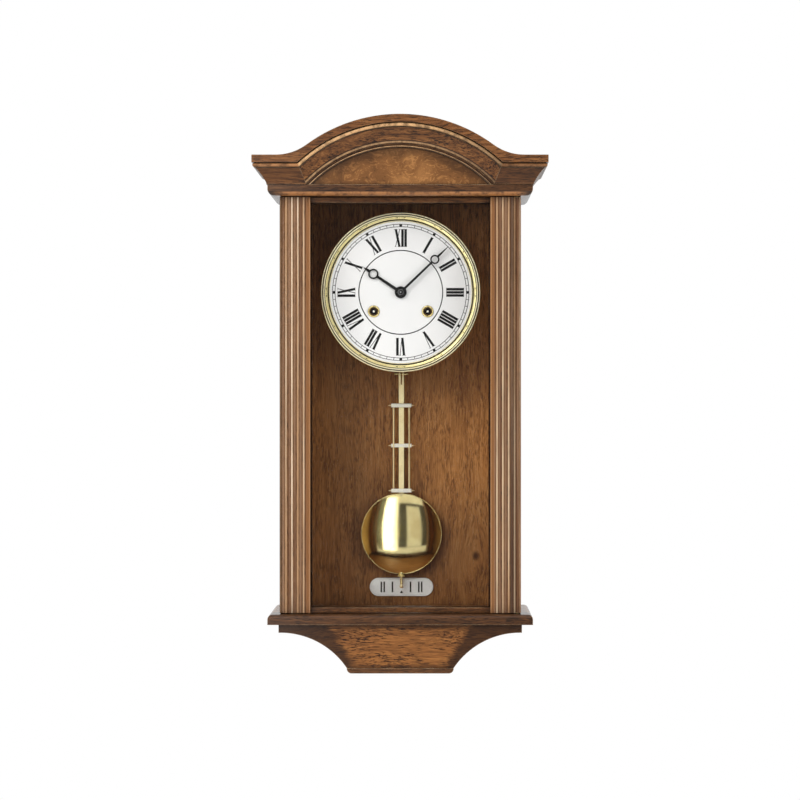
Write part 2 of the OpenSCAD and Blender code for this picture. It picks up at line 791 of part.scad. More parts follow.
module catch_plate() color("silver")
    slab(-inner_w, -inner_w + catch_w, stile_back - catch_t, stile_back, catch_z - catch_h / 2,
        catch_z + catch_h / 2);

// Dial
module dial_plate() color("white") at_dial() facing(dial_t - face_y, dial_t) difference() {
    circle(face_r + face_lap, $fn = 180);
    circle(pipe_r + 0.8);
    for (s = [-1, 1]) translate([s * wind_x, -wind_z]) circle(grommet_r - grommet_lip);
}
// The bezel: an inner step, a broad sloping band, a groove and an outer bead
module dial_bezel() color("gold") turned(-face_y) {
    polygon([[face_r, 0], [face_r, 0.5], [face_r + 2, 1.6], [face_r + 2.8, 2.8],
        [bezel_r - 3, 4.4], [bezel_r - 2.4, 3.6], [bezel_r - 1.4, 3.6], [bezel_r, 3],
        [bezel_r, -bezel_skirt], [bezel_r - bezel_wall, -bezel_skirt], [bezel_r - bezel_wall, 0]]);
    translate([bezel_r - bezel_bead, 3.4]) circle(bezel_bead);
}
module winding_grommets() color("gold") both_ways()
    translate([wind_x, 0, -wind_z]) turned(-face_y) {
        translate([grommet_r - grommet_w, -dial_t])
            square([grommet_w - grommet_lip - fit, dial_t + grommet_t]);
        translate([grommet_r - grommet_w, 0]) square([grommet_w, grommet_t]);
        translate([grommet_r - grommet_w / 2, grommet_t]) intersection() {
            circle(grommet_w / 2);
            translate([-grommet_w, 0]) square(2 * grommet_w);
        }
    }
module dial_feet() color("gold") at_dial() for (p = FEET)
    facing(front_face_y, face_y - dial_t + front_face_y) translate(p) circle(feet_r);

// Hands: drawn pointing up, then turned to the time
module hand_outline(len, share, ring, root, neck, boss) difference() {
    ring_at = share * len;
    swell = ring_at + ring + 2;
    union() {
        circle(boss);
        translate([0, ring_at]) circle(ring);
        polygon([[-root, 0], [-neck, ring_at], [neck, ring_at], [root, 0]]);
        polygon([[-neck, ring_at], [-neck * 1.1, swell], [-0.25, len], [0.25, len],
            [neck * 1.1, swell], [neck, ring_at]]);
    }
    translate([0, ring_at]) circle(ring - ring_w);
}
module minute_hand() color("black") at_dial() facing(minute_y + hand_t, hand_t) difference() {
    rotate(minute_turn) hand_outline(minute_len, minute_ring, ring_r, 1.5, 1.2, minute_boss_r);
    circle(cannon_r + fit);
}
module hour_hand() color("black") at_dial() facing(hour_y + hand_t, hand_t) difference() {
    rotate(hour_turn) hand_outline(hour_len, hour_ring, ring_r + 0.6, 1.9, 1.5, hour_boss_r);
    circle(pipe_r + fit);
}
module hand_nut() color("gold") turned(minute_y) difference() {
    union() {
        translate([0, 0.6]) circle(2.6);
        square([2.9, 1.2]);
    }
    translate([-4, -4]) square([4, 9]);
    translate([-1, -4]) square([9, 4]);
    translate([0, -1]) square([arbor_r + fit, 2]);
}

// Movement frame
module plate_outline() difference() {
    translate([-plate_x, plate_low]) square([plate_w, plate_h]);
    for (p = POSTS) translate(p) circle(tenon_r + fit);
    for (p = ARBORS) translate(p) circle(pin_r + run_gap);
}
module front_plate() color("khaki") {
    front_sheet();
    front_studs();
}
module front_sheet() at_dial() facing(front_plate_y, plate_t) difference() {
    plate_outline();
    translate(anchor_at) circle(pin_r + run_gap);
    circle(arbor_r + run_gap);
    for (p = [time_at, strike_at]) translate(p) circle(wind_r + run_gap);
}
// Studs on the front plate for the clicks and the minute wheel
module front_studs() at_dial() {
    for (p = [time_at, strike_at]) facing(front_face_y, ratchet_w + 0.1)
        translate(p + click_stud) circle(stud_r);
    facing(front_face_y, hour_w + minute_w) translate(minute_arbor_at) circle(stud_r);
}
module back_plate() color("khaki") at_dial() facing(back_plate_y, plate_t) difference() {
    plate_outline();
    circle(pin_r + run_gap);
    translate(anchor_at) circle(4.4);
    for (p = [time_at, strike_at]) translate(p) circle(wind_r / 2 + run_gap);
}
module plate_pillars() color("gold") for (p = POSTS) {
    disc(p, 0, plate_gap, post_r);
    disc(p, -plate_t, plate_gap + 2 * plate_t, tenon_r);
    disc(p, plate_gap + plate_t, nut_t, post_r + 0.6);
}
module movement_posts() color("gray") for (p = POSTS)
    disc(p, -plate_t - post_len, post_len, post_r + 0.8);

// Spring barrels, with the spring coiled inside
module spring_barrel(at) {
    level(at, great_w, great_t) difference() {
        gear_outline(m_great, n_great);
        circle(wind_r + run_gap);
    }
    level(at, great_w + great_t, drum_w) difference() {
        circle(barrel_r);
        circle(barrel_r - drum_wall);
    }
    level(at, great_w + great_t + drum_w, drum_wall) difference() {
        circle(barrel_r);
        circle(wind_r + run_gap);
    }
    level(at, great_w + great_t + 1, drum_w - 2) spring_spiral();
}
// Half-turn arcs that step outwards make the spiral of the mainspring
module spring_spiral() {
    strip = 0.6;
    step = 1.2;
    first = wind_r + 2;
    turns = floor((barrel_r - drum_wall - first) / step);
    for (i = [0:turns - 1]) for (s = [0, 1]) rotate(s * 180) translate([s * step / 2, 0])
        half_ring(first + i * step + s * step / 2, strip);
}
module half_ring(r, t) intersection() {
    difference() {
        circle(r + t);
        circle(r);
    }
    translate([-r - t, 0]) square([2 * (r + t), r + t]);
}
module time_barrel() color("gold") spring_barrel(time_at);
module strike_barrel() color("gold") spring_barrel(strike_at);
// Winding arbor with its ratchet wheel and square
module winding_arbor(at) {
    disc(at, -plate_t, plate_t + end_shake, wind_r / 2);
    disc(at, end_shake, plate_gap + plate_t + ratchet_w, wind_r);
    level(at, plate_gap + plate_t + end_shake, ratchet_t) ratchet_outline();
    at_dial() facing(front_face_y - ratchet_w, square_end + front_face_y - ratchet_w) translate(at)
        square(square_w, center = true);
}
module time_winding_arbor() color("silver") winding_arbor(time_at);
module strike_winding_arbor() color("silver") winding_arbor(strike_at);
// Click: a lever on a stud of the front plate, its tip in the ratchet's teeth
module ratchet_outline(gap = 0, turn = 0)
    saw_outline(n_ratchet, ratchet_tip + gap, ratchet_root + gap, ratchet_phase + turn);
module click(at) {
    tip = (ratchet_root + 0.1) * [cos(click_tip_turn), sin(click_tip_turn)];
    along = (tip - click_stud) / norm(tip - click_stud);
    side = [-along[1], along[0]];
    level(at, plate_gap + plate_t + end_shake, ratchet_t) difference() {
        union() {
            translate(click_stud) circle(2.8);
            polygon([click_stud + side * 2, click_stud - side * 1.6, tip - side * 0.2,
                tip + side * 0.9]);
        }
        translate(click_stud) circle(stud_r + run_gap);
        ratchet_outline(0.1);
        ratchet_outline(0.1, 0.8);
    }
}
module time_click() color("silver") click(time_at);
module strike_click() color("silver") click(strike_at);

// Going train
module centre_wheel() color("gold") {
    disc(centre_at, end_shake, -minute_y - 1 + w0 - end_shake + 2, arbor_r);
    disc(centre_at, -plate_t, plate_t + end_shake, pin_r);
    level(centre_at, second_w - 1, wheel_t + 2) gear_outline(m_second, n_centre_pinion,
        centre_pinion_phase);
    level(centre_at, centre_w, wheel_t) wheel_outline(m_centre, n_centre, 0, 5, 4, grip_r);
}
module cannon_pinion() color("silver") {
    at_dial() facing(front_face_y - end_shake, -minute_y + front_face_y - end_shake) difference() {
        circle(cannon_r);
        circle(arbor_r + fit);
    }
    at_dial() facing(front_face_y - 1.6, 2.6) difference() {
        gear_outline(m_motion, n_cannon);
        circle(arbor_r + fit);
    }
}
module minute_wheel() color("gold") at_dial() {
    facing(front_face_y - minute_w, wheel_t) translate(minute_arbor_at)
        wheel_outline(m_motion, n_minute, minute_phase, 4, 3, stud_r + run_gap);
    facing(front_face_y - minute_w - wheel_t, 3.6) translate(minute_arbor_at) difference() {
        gear_outline(m_hour, n_minute_pinion, minute_phase);
        circle(stud_r + run_gap);
    }
}
module hour_wheel() color("gold") at_dial() {
    facing(front_face_y - hour_w, wheel_t) difference() {
        gear_outline(m_hour, n_hour, hour_phase);
        circle(cannon_r + run_gap);
    }
    facing(front_face_y - hour_w, front_face_y - hour_w - hour_y) difference() {
        circle(pipe_r);
        circle(cannon_r + run_gap);
    }
}
module intermediate_wheel() color("gold") {
    arbor(second_at);
    level(second_at, second_w, wheel_t)
        wheel_outline(m_second, n_second, second_phase, 5, 4, grip_r);
    level(second_at, second_w + wheel_t, pinion_w)
        gear_outline(m_great, n_second_pinion, second_phase);
}
module third_wheel() color("gold") {
    arbor(third_at);
    level(third_at, centre_w - 1, wheel_t + 2) gear_outline(m_centre, n_third_pinion, third_phase);
    level(third_at, third_w, thin_t) wheel_outline(m_third, n_third, third_phase, 4, 3, grip_r);
}
module escape_wheel() color("gold") {
    arbor(escape_at);
    level(escape_at, third_w - 1, 3) gear_outline(m_third, n_escape_pinion, escape_phase);
    level(escape_at, escape_w, 0.8) difference() {
        saw_outline(n_escape, escape_r, escape_r - 1.3, escape_phase);
        difference() {
            circle(escape_r - rim_w - 0.6);
            circle(rim_w + 0.6);
            for (i = [0:3]) rotate(i * 90) translate([0, -0.5]) square([escape_r, 1]);
        }
    }
}
// Verge: the anchor with its pallets, its arbor and the crutch behind the back plate
module anchor() color("silver") {
    disc(anchor_at, -plate_t - 5.4, plate_t + 5.4, pin_r);
    disc(anchor_at, -plate_t - 3.6, plate_t + 3.6 + plate_gap - end_shake, arbor_r);
    disc(anchor_at, plate_gap - end_shake, plate_t + end_shake, pin_r);
    level([0, 0], escape_w - 0.4, 1.6) difference() {
        union() {
            translate(anchor_at) circle(2.6);
            both_ends() polygon([anchor_at + [0, pallet_w], pallet + [0.2, pallet_h], pallet,
                pallet + [-pallet_w, 0.6], pallet + [0.6 - pallet_w, 3], anchor_at - [0, pallet_w]]);
        }
        translate(escape_at) circle(escape_r + 1);
    }
    level([0, 0], crutch_w - crutch_t, crutch_t) {
        translate(anchor_at) circle(3);
        translate([-1, crutch_z]) square([2, susp_up - crutch_z]);
        translate([0, crutch_z]) circle(1.6);
    }
    at_dial() facing(2 - pend_y, 1 - pend_y - back_plate_y) translate([0, crutch_z])
        circle(crutch_pin_r);
}

// Strike train
module strike_second_wheel() color("gold") {
    arbor(strike_second_at);
    level(strike_second_at, second_w, wheel_t) wheel_outline(m_strike, n_second,
        strike_second_phase, 5, 4, grip_r);
    level(strike_second_at, second_w + wheel_t, pinion_w) gear_outline(m_great, n_second_pinion,
        strike_second_phase);
}
module strike_third_wheel() color("gold") {
    arbor(strike_third_at);
    level(strike_third_at, second_w - 1, wheel_t + 2) gear_outline(m_strike, n_strike_pinion,
        strike_third_phase);
    level(strike_third_at, third_w, thin_t)
        wheel_outline(m_warn, n_warn, strike_third_phase, 4, 3, grip_r);
}
module fly() color("silver") {
    arbor(fly_at);
    level(fly_at, third_w - 1, 3) gear_outline(m_warn, n_fly_pinion, fly_phase);
    level(fly_at, 29, 12) rotate(20) square([22, 0.5], center = true);
}

// Pendulum
module suspension_cock() color("gold") at_dial() difference() {
    union() {
        slab(-cock_half, cock_half, cock_front - cheek_t, slot_y / 2 + 3 - pend_y,
            susp_up - cock_low, susp_up + cock_high);
        both_ways() slab(cock_half - 1, cock_half + 4, back_plate_y, cock_front - cheek_t + 2,
            susp_up - cock_low, susp_up + cock_high);
    }
    slab(-cock_half - 1, cock_half + 1, cock_front, slot_y / 2 - pend_y, susp_up - cock_low - 1,
        susp_up + cock_high / 2);
    facing(-pend_y + slot_y / 2 + 1.5, slot_y + 3) translate(anchor_at) circle(1 + run_gap);
    facing(cock_front - cheek_t + 1.5, 3) translate(anchor_at) circle(pin_r + run_gap);
}
module suspension_leader() color("gold") at_dial() {
    facing(-pend_y + slot_y / 2 + 1.4, slot_y + 2.8) translate(anchor_at) circle(1);
    facing(-pend_y + rod_t / 2, rod_t) difference() {
        union() {
            translate(anchor_at) circle(2.6);
            translate([-leader_w / 2, leader_end + strap_up])
                square([leader_w, susp_up - leader_end - strap_up]);
            translate([-tongue_w / 2, leader_end]) square([tongue_w, strap_up + 1]);
        }
        translate([0, crutch_z]) circle(crutch_pin_r + run_gap);
    }
    translate([-cross_half, -pend_y, leader_end]) rotate([0, 90, 0])
        cylinder(r = cross_r, h = 2 * cross_half);
}
module pendulum_rod() color("gold") {
    z_top = dial_z + leader_end;
    difference() {
        union() {
            slab(-rod_w / 2, rod_w / 2, -pend_y - rod_t / 2, -pend_y + rod_t / 2, rod_end, z_top);
            translate([-rod_w / 2, -pend_y, z_top]) rotate([0, 90, 0])
                cylinder(r = hook_r, h = rod_w);
            for (i = [0, 1]) crossbar(BARS[i], 1);
            crossbar(BARS[2], -1);
            both_ways() translate([side_rod_x, -pend_y, BARS[2] - 1])
                cylinder(r = side_rod_r, h = BARS[0] - BARS[2] + 3);
            translate([0, -pend_y, tip_low]) cylinder(r = tip_r, h = rod_end + 1 - tip_low);
        }
        slab(-fork_w / 2, fork_w / 2, -pend_y - 4, -pend_y + 4, z_top - fork_down, z_top + 4);
        translate([-cross_half, -pend_y, z_top]) rotate([0, 90, 0])
            cylinder(r = cross_r + fit, h = 2 * cross_half);
    }
}
// A crossbar with pointed ends; side 1 stands behind the rod and side -1 before it
module crossbar(z, side) {
    y = -pend_y + side * 0.9;
    slab(-bar_half, bar_half, y - bar_t / 2, y + bar_t / 2, z - bar_h / 2, z + bar_h / 2);
    both_ways() translate([bar_half, y, z]) rotate([0, 90, 0])
        cylinder(r1 = 1.6, r2 = 0.4, h = bar_tip);
}
module pendulum_bob() color("gold") difference() {
    translate([0, -pend_y, bob_z]) rotate([90, 0, 0]) rotate_extrude($fn = 180) bob_section();
    slab(-rod_w / 2 - slide_gap, rod_w / 2 + slide_gap, -pend_y - rod_t / 2 - slide_gap,
        -pend_y + rod_t / 2 + slide_gap, rod_end - bob_rise, bob_z + bob_r + 1);
    translate([0, -pend_y, bob_z - bob_r - 1]) cylinder(r = tip_r + run_gap, h = 2 * bob_r);
}
// Half of the bob's section: the front dome is at positive heights
module bob_section() {
    front_r = (pow(bob_r, 2) + pow(bob_dome, 2)) / (2 * bob_dome);
    back_r = (pow(bob_r, 2) + pow(bob_back, 2)) / (2 * bob_back);
    intersection() {
        translate([0, -bob_rim / 2 - bob_back]) square([bob_r, bob_rim + bob_back + bob_dome]);
        translate([0, bob_rim / 2 + bob_dome - front_r]) circle(front_r, $fn = 360);
        translate([0, back_r - bob_rim / 2 - bob_back]) circle(back_r, $fn = 720);
    }
}
module rating_nut() color("gold") translate([0, -pend_y, bob_z - bob_r - nut_h - 0.3])
    difference() {
        cylinder(r = nut_r, h = nut_h);
        translate([0, 0, -1]) cylinder(r = tip_r + run_gap, h = nut_h + 2);
    }

// Gong and hammer
module coil_gong() color("slategray") at_dial() {
    for (i = [0:gong_turns - 1]) for (s = [0, 1])
        translate([gong_at[0] + s * gong_pitch / 2, gong_y, gong_at[1]]) rotate([90, 0, 0])
            rotate([0, 0, s * 180]) rotate_extrude(angle = 180)
                translate([gong_r - i * gong_pitch - s * gong_pitch / 2, 0]) circle(gong_wire_r);
    slab(gong_r - gong_block / 2, gong_r + gong_block / 2, -back_t - 8, -back_t,
        gong_at[1] - 1.2 * gong_block, gong_at[1]);
}

// Hammer: it hangs from its own arbor behind the back plate, beside the coil
module gong_hammer() color("silver") {
    arbor(hammer_at);
    rest_x = gong_at[0] - gong_r - gong_wire_r - head_gap;
    disc(hammer_at, -plate_t - 3, plate_t + 3, pin_r);
    level([0, 0], -plate_t - 3, 2) {
        translate(hammer_at) circle(2.4);
        translate([hammer_at[0] - 1, head_z]) square([2, hammer_at[1] - head_z]);
    }
    at_dial() translate([rest_x - head_len, gong_y, head_z]) rotate([0, 90, 0])
        cylinder(r = head_r, h = head_len);
    at_dial() facing(gong_y, gong_y - back_plate_y - 1.5) translate([hammer_at[0], head_z])
        circle(1.3);
}

back_panel();
side_panels();
top_board();
base_moulding();
shelf_board();
pediment_board();
arch_moulding();
cornice_mouldings();
burl_panel();
crown_roof();
crown_blocks();
apron_front();
apron_sides();
apron_foot();
hanger_plate();
beat_plate();
pivot_bushes();
catch_magnet();
door_stile_left();
door_stile_right();
door_rails();
door_glass();
glass_stops();
door_pivots();
catch_plate();
dial_plate();
dial_bezel();
winding_grommets();
dial_feet();
hour_hand();
hour_wheel();
minute_hand();
hand_nut();
front_plate();
back_plate();
plate_pillars();
movement_posts();
time_barrel();
time_winding_arbor();
time_click();
strike_barrel();
strike_winding_arbor();
strike_click();
centre_wheel();
cannon_pinion();
minute_wheel();
intermediate_wheel();
third_wheel();
escape_wheel();
strike_second_wheel();
strike_third_wheel();
fly();
anchor();
suspension_cock();
suspension_leader();
pendulum_rod();
pendulum_bob();
rating_nut();
coil_gong();
gong_hammer();
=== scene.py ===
"""Wall regulator clock: its finishes, its fine pieces and the studio that lights it.

Sizes are millimetres in the frame of the solids, and become metres when a mesh is made.
"""
import logging
import math
from collections.abc import Iterable, Sequence
from dataclasses import dataclass
from enum import Enum

import bmesh
import bpy
from mathutils import Matrix, Vector


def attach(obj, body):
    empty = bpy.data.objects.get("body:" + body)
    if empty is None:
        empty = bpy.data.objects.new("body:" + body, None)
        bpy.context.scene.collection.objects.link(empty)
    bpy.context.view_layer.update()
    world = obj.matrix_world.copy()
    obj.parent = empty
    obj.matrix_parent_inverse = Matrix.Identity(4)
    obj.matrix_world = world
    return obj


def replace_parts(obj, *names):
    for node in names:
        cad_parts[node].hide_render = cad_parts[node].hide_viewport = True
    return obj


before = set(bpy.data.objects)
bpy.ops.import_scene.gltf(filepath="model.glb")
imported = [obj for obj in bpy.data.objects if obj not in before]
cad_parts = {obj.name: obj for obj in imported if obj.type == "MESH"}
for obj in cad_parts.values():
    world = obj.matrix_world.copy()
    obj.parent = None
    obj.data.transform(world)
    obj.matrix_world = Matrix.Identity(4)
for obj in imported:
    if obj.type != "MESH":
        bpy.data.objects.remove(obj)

LOG = logging.getLogger("regulator")
MM = 0.001
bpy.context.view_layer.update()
DIAL_HEIGHT = -92.1
POSTS = ((50.0, 64.0), (-50.0, 64.0), (50.0, -44.0), (-50.0, -44.0))
FRONTWARDS = (0.0, -1.0, 0.0)
BACKWARDS = (0.0, 1.0, 0.0)
UPWARDS = (0.0, 0.0, 1.0)

Rgb = tuple[int, int, int]
Flat = tuple[float, float]
Spot = tuple[float, float, float]


def tint(shade: Rgb, lift: float = 1.0) -> tuple[float, float, float, float]:
    """Turns a screen colour into the linear colour that a shader takes.

    Args:
        shade: Red, green and blue from 0 to 255.
        lift: Factor on the linear colour.

    Returns:
        Linear red, green, blue and an alpha of 1.
    """
    def linear(value: int) -> float:
        """Gives one channel's linear value."""
        part = value / 255
        return part / 12.92 if part <= 0.04045 else ((part + 0.055) / 1.055) ** 2.4
    red, green, blue = (min(1.0, linear(value) * lift) for value in shade)
    return red, green, blue, 1.0


class Graph:
    """Short calls that add and join the nodes of one tree."""

    def __init__(self, tree: bpy.types.NodeTree) -> None:
        """Keeps the tree and empties it."""
        self.tree = tree
        tree.nodes.clear()

    def add(self, kind: str, settings: dict | None = None, feeds: dict | None = None) -> bpy.types.Node:
        """Adds a node.

        Args:
            kind: The node's type name.
            settings: Properties to set on it.
            feeds: Values or sockets for its inputs, by name or index.

        Returns:
            The new node.
        """
        node = self.tree.nodes.new(kind)
        for key, value in (settings or {}).items():
            setattr(node, key, value)
        for key, value in (feeds or {}).items():
            self.feed(node, key, value)
        return node

    def feed(self, node: bpy.types.Node, key: str | int, value: object) -> None:
        """Links a socket or a node's first output to an input, or writes a plain value on it."""
        if isinstance(value, bpy.types.Node):
            value = value.outputs[0]
        if isinstance(value, bpy.types.NodeSocket):
            self.tree.links.new(value, node.inputs[key])
        else:
            node.inputs[key].default_value = value

    def math(self, operation: str, first: object, second: object = 0.5, third: object = 0.0) -> bpy.types.NodeSocket:
        """Adds a Math node and returns its result."""
        return self.add("ShaderNodeMath", {"operation": operation}, {0: first, 1: second, 2: third}).outputs[0]

    def plus(self, first: object, second: object) -> bpy.types.NodeSocket:
        """Adds two values."""
        return self.math("ADD", first, second)

    def minus(self, first: object, second: object) -> bpy.types.NodeSocket:
        """Takes the second value from the first."""
        return self.math("SUBTRACT", first, second)

    def times(self, first: object, second: object) -> bpy.types.NodeSocket:
        """Multiplies two values."""
        return self.math("MULTIPLY", first, second)

    def times_plus(self, first: object, second: object, third: object) -> bpy.types.NodeSocket:
        """Multiplies two values and adds a third."""
        return self.math("MULTIPLY_ADD", first, second, third)

    def stretch(self, vector: object, factors: object) -> bpy.types.NodeSocket:
        """Scales a vector by its own factor along each axis."""
        return self.vector("MULTIPLY", vector, factors)

    def vector(self, operation: str, first: object, second: object = (0.0, 0.0, 0.0)) -> bpy.types.NodeSocket:
        """Adds a Vector Math node and returns its vector, or its value where it has one."""
        node = self.add("ShaderNodeVectorMath", {"operation": operation}, {0: first})
        if operation == "SCALE":
            self.feed(node, 3, second)
        elif operation != "LENGTH":
            self.feed(node, 1, second)
        return node.outputs[1 if operation in ("LENGTH", "DOT_PRODUCT") else 0]

    def noise(self, vector: object, scale: float, detail: float = 2.0, roughness: float = 0.5,
              distortion: float = 0.0, colour: bool = False) -> bpy.types.NodeSocket:
        """Adds a Noise Texture and returns its value, or its colour."""
        node = self.add("ShaderNodeTexNoise", None, {
            "Vector": vector, "Scale": scale, "Detail": detail, "Roughness": roughness,
            "Distortion": distortion})
        return node.outputs[1 if colour else 0]

    def spread(self, value: object, low: float, high: float, to_low: float = 0.0,
               to_high: float = 1.0) -> bpy.types.NodeSocket:
        """Maps a range smoothly on another one."""
        node = self.add("ShaderNodeMapRange", {"interpolation_type": "SMOOTHSTEP"}, {
            "Value": value, "From Min": low, "From Max": high, "To Min": to_low, "To Max": to_high})
        return node.outputs[0]

    def border(self, value: object, low: float, high: float, to_low: float = 0.0,
               to_high: float = 1.0) -> bpy.types.NodeSocket:
        """Maps the stretch between two places in millimetres smoothly on another range."""
        return self.spread(value, low * MM, high * MM, to_low, to_high)

    def ramp(self, value: object, stops: Sequence[tuple[float, tuple]]) -> bpy.types.NodeSocket:
        """Adds a colour ramp with the given stops and returns its colour."""
        node = self.add("ShaderNodeValToRGB", None, {0: value})
        points = node.color_ramp.elements
        while len(points) < len(stops):
            points.new(0.5)
        for point, (place, shade) in zip(points, stops):
            point.position = place
            point.color = shade
        return node.outputs[0]

    def mix(self, share: object, first: object, second: object) -> bpy.types.NodeSocket:
        """Mixes two colours and returns the result."""
        return self.add("ShaderNodeMix", {"data_type": "RGBA"}, {0: share, 6: first, 7: second}).outputs[2]

    def axes(self, x: object, y: object, z: object) -> bpy.types.NodeSocket:
        """Joins three values to a vector."""
        return self.add("ShaderNodeCombineXYZ", None, {0: x, 1: y, 2: z}).outputs[0]

    def parts(self, vector: object) -> bpy.types.NodeOutputs:
        """Splits a vector into its x, y and z."""
        return self.add("ShaderNodeSeparateXYZ", None, {0: vector}).outputs

    def spot(self) -> bpy.types.NodeSocket:
        """Gives the coordinates of the shaded point on its object."""
        return self.add("ShaderNodeTexCoord").outputs["Object"]

    def blend(self, share: object, first: bpy.types.Node, second: bpy.types.Node) -> bpy.types.Node:
        """Mixes two shaders."""
        return self.add("ShaderNodeMixShader", None, {0: share, 1: first, 2: second})

    def end(self, shader: bpy.types.Node, kind: str = "Material") -> None:
        """Ends the tree with a shader."""
        self.feed(self.add("ShaderNodeOutput" + kind), "Surface", shader)


class Effect:
    """A shader effect that several finishes share, kept as one node group."""

    made: dict[str, bpy.types.NodeTree] = {}

    @classmethod
    def start(cls, name: str, inputs: dict[str, str],
              outputs: dict[str, str]) -> tuple[Graph, bpy.types.Node, bpy.types.Node]:
        """Opens a new group with named sockets.

        Args:
            name: The group's name.
            inputs: Socket kinds by name.
            outputs: Socket kinds by name.

        Returns:
            The graph, the group's input node and its output node.
        """
        tree = bpy.data.node_groups.new(name, "ShaderNodeTree")
        graph = Graph(tree)
        for way, sockets in (("INPUT", inputs), ("OUTPUT", outputs)):
            for label, kind in sockets.items():
                tree.interface.new_socket(label, in_out=way, socket_type="NodeSocket" + kind)
        cls.made[name] = tree
        return graph, graph.add("NodeGroupInput"), graph.add("NodeGroupOutput")

    @classmethod
    def use(cls, graph: Graph, name: str, feeds: dict) -> bpy.types.Node:
        """Adds the named group to a material, making it the first time."""
        if name not in cls.made:
            getattr(cls, name)()
        return graph.add("ShaderNodeGroup", {"node_tree": cls.made[name]}, feeds)

    @classmethod
    def wood_grain(cls) -> None:
        """Growth rings, streaks and pores of wood whose grain runs along X."""
        graph, given, out = cls.start("wood_grain", {"Vector": "Vector", "Shift": "Vector", "Figure": "Float"},
                                      {"Tone": "Float", "Pores": "Float", "Patch": "Float"})
        place = graph.vector("ADD", given.outputs["Vector"], given.outputs["Shift"])
        drift = graph.noise(graph.stretch(place, (6.0, 16.0, 16.0)), 1.0, 2.0, colour=True)
        drift = graph.vector("SUBTRACT", drift, (0.5, 0.5, 0.5))
        drift = graph.vector("SCALE", graph.vector("SCALE", drift, 0.022), given.outputs["Figure"])
        place = graph.vector("ADD", place, graph.stretch(drift, (0.3, 1.0, 1.0)))
        patch = graph.noise(graph.stretch(place, (5.0, 17.0, 17.0)), 1.0, 3.0, 0.55)
        streak = graph.noise(graph.stretch(place, (11.0, 200.0, 200.0)), 1.0, 6.0, 0.7)
        thread = graph.noise(graph.stretch(place, (38.0, 620.0, 620.0)), 1.0, 3.0, 0.6)
        heart = graph.stretch(graph.vector("ADD", place, (0.0, 0.11, 0.05)), (0.05, 1.0, 1.0))
        ring = graph.times(graph.vector("LENGTH", heart), 900.0)
        ring = graph.math("SINE", graph.times_plus(patch, 16.0, ring))
        tone = graph.times_plus(streak, 0.42, graph.times(patch, 0.24))
        tone = graph.times_plus(thread, 0.34, tone)
        tone = graph.times_plus(ring, 0.018, tone)
        fine = graph.noise(graph.stretch(place, (90.0, 1050.0, 1050.0)), 1.0, 2.0, 0.55)
        coarse = graph.noise(graph.stretch(place, (110.0, 600.0, 600.0)), 1.0, 2.0, 0.6)
        crowd = graph.noise(graph.stretch(place, (22.0, 60.0, 60.0)), 1.0, 3.0, 0.6)
        fine = graph.times(graph.spread(fine, 0.52, 0.60), graph.spread(crowd, 0.30, 0.56, 0.3, 1.0))
        coarse = graph.times(graph.spread(coarse, 0.57, 0.62), graph.spread(crowd, 0.47, 0.62))
        pores = graph.math("MAXIMUM", fine, coarse)
        graph.feed(out, "Tone", tone)
        graph.feed(out, "Pores", pores)
        graph.feed(out, "Patch", patch)

    @classmethod
    def round_the_arch(cls) -> None:
        """Straightens an arch: X runs along it and Z away from its centre."""
        graph, given, out = cls.start("round_the_arch", {"Vector": "Vector", "Centre": "Float", "Radius": "Float"},
                                      {"Vector": "Vector"})
        over, depth, height = graph.parts(given.outputs["Vector"])
        rise = graph.minus(height, given.outputs["Centre"])
        along = graph.times(graph.math("ARCTAN2", over, rise), given.outputs["Radius"])
        reach = graph.vector("LENGTH", graph.axes(over, 0.0, rise))
        graph.feed(out, "Vector", graph.axes(along, depth, reach))

    @classmethod
    def handled_edges(cls) -> None:
        """Where hands and cloths rub an edge, how closed in each place is, and the softened normal. Wood darkens
        closed-in places as painted shade; metal darkens them as patina.
        """
        graph, given, out = cls.start("handled_edges", {"Width": "Float", "Depth": "Float"},
                                      {"Rubbed": "Float", "Occluded": "Float", "Normal": "Vector"})
        soft = graph.add("ShaderNodeBevel", {"samples": 4}, {"Radius": given.outputs["Width"]}).outputs[0]
        plain = graph.add("ShaderNodeNewGeometry").outputs["Normal"]
        turned = graph.minus(1.0, graph.vector("DOT_PRODUCT", soft, plain))
        open_air = graph.add("ShaderNodeAmbientOcclusion", {"samples": 5},
                             {"Distance": given.outputs["Depth"]}).outputs["AO"]
        place = graph.spot()
        patchy = graph.spread(graph.noise(place, 90.0, 3.0), 0.30, 0.62, 0.25, 1.0)
        rubbed = graph.times(graph.spread(turned, 0.02, 0.16), graph.spread(open_air, 0.55, 0.8))
        graph.feed(out, "Rubbed", graph.times(rubbed, patchy))
        # Occluded: near 1 where a place is closed in; wood paints shade from it, metal patina.
        graph.feed(out, "Occluded", graph.spread(open_air, 0.95, 0.35))
        graph.feed(out, "Normal", soft)

    @classmethod
    def metal_age(cls) -> None:
        """Cloudy dulling, fine wipe marks and specks on bright metal."""
        graph, given, out = cls.start("metal_age", {"Vector": "Vector", "Stretch": "Vector"},
                                      {"Cloud": "Float", "Wipes": "Float", "Specks": "Float"})
        place = given.outputs["Vector"]
        graph.feed(out, "Cloud", graph.noise(place, 42.0, 4.0, 0.6, 0.4))
        brushed = graph.stretch(place, given.outputs["Stretch"])
        graph.feed(out, "Wipes", graph.noise(brushed, 1.0, 4.0, 0.7))
        graph.feed(out, "Specks", graph.spread(graph.noise(place, 900.0, 1.0), 0.66, 0.76))


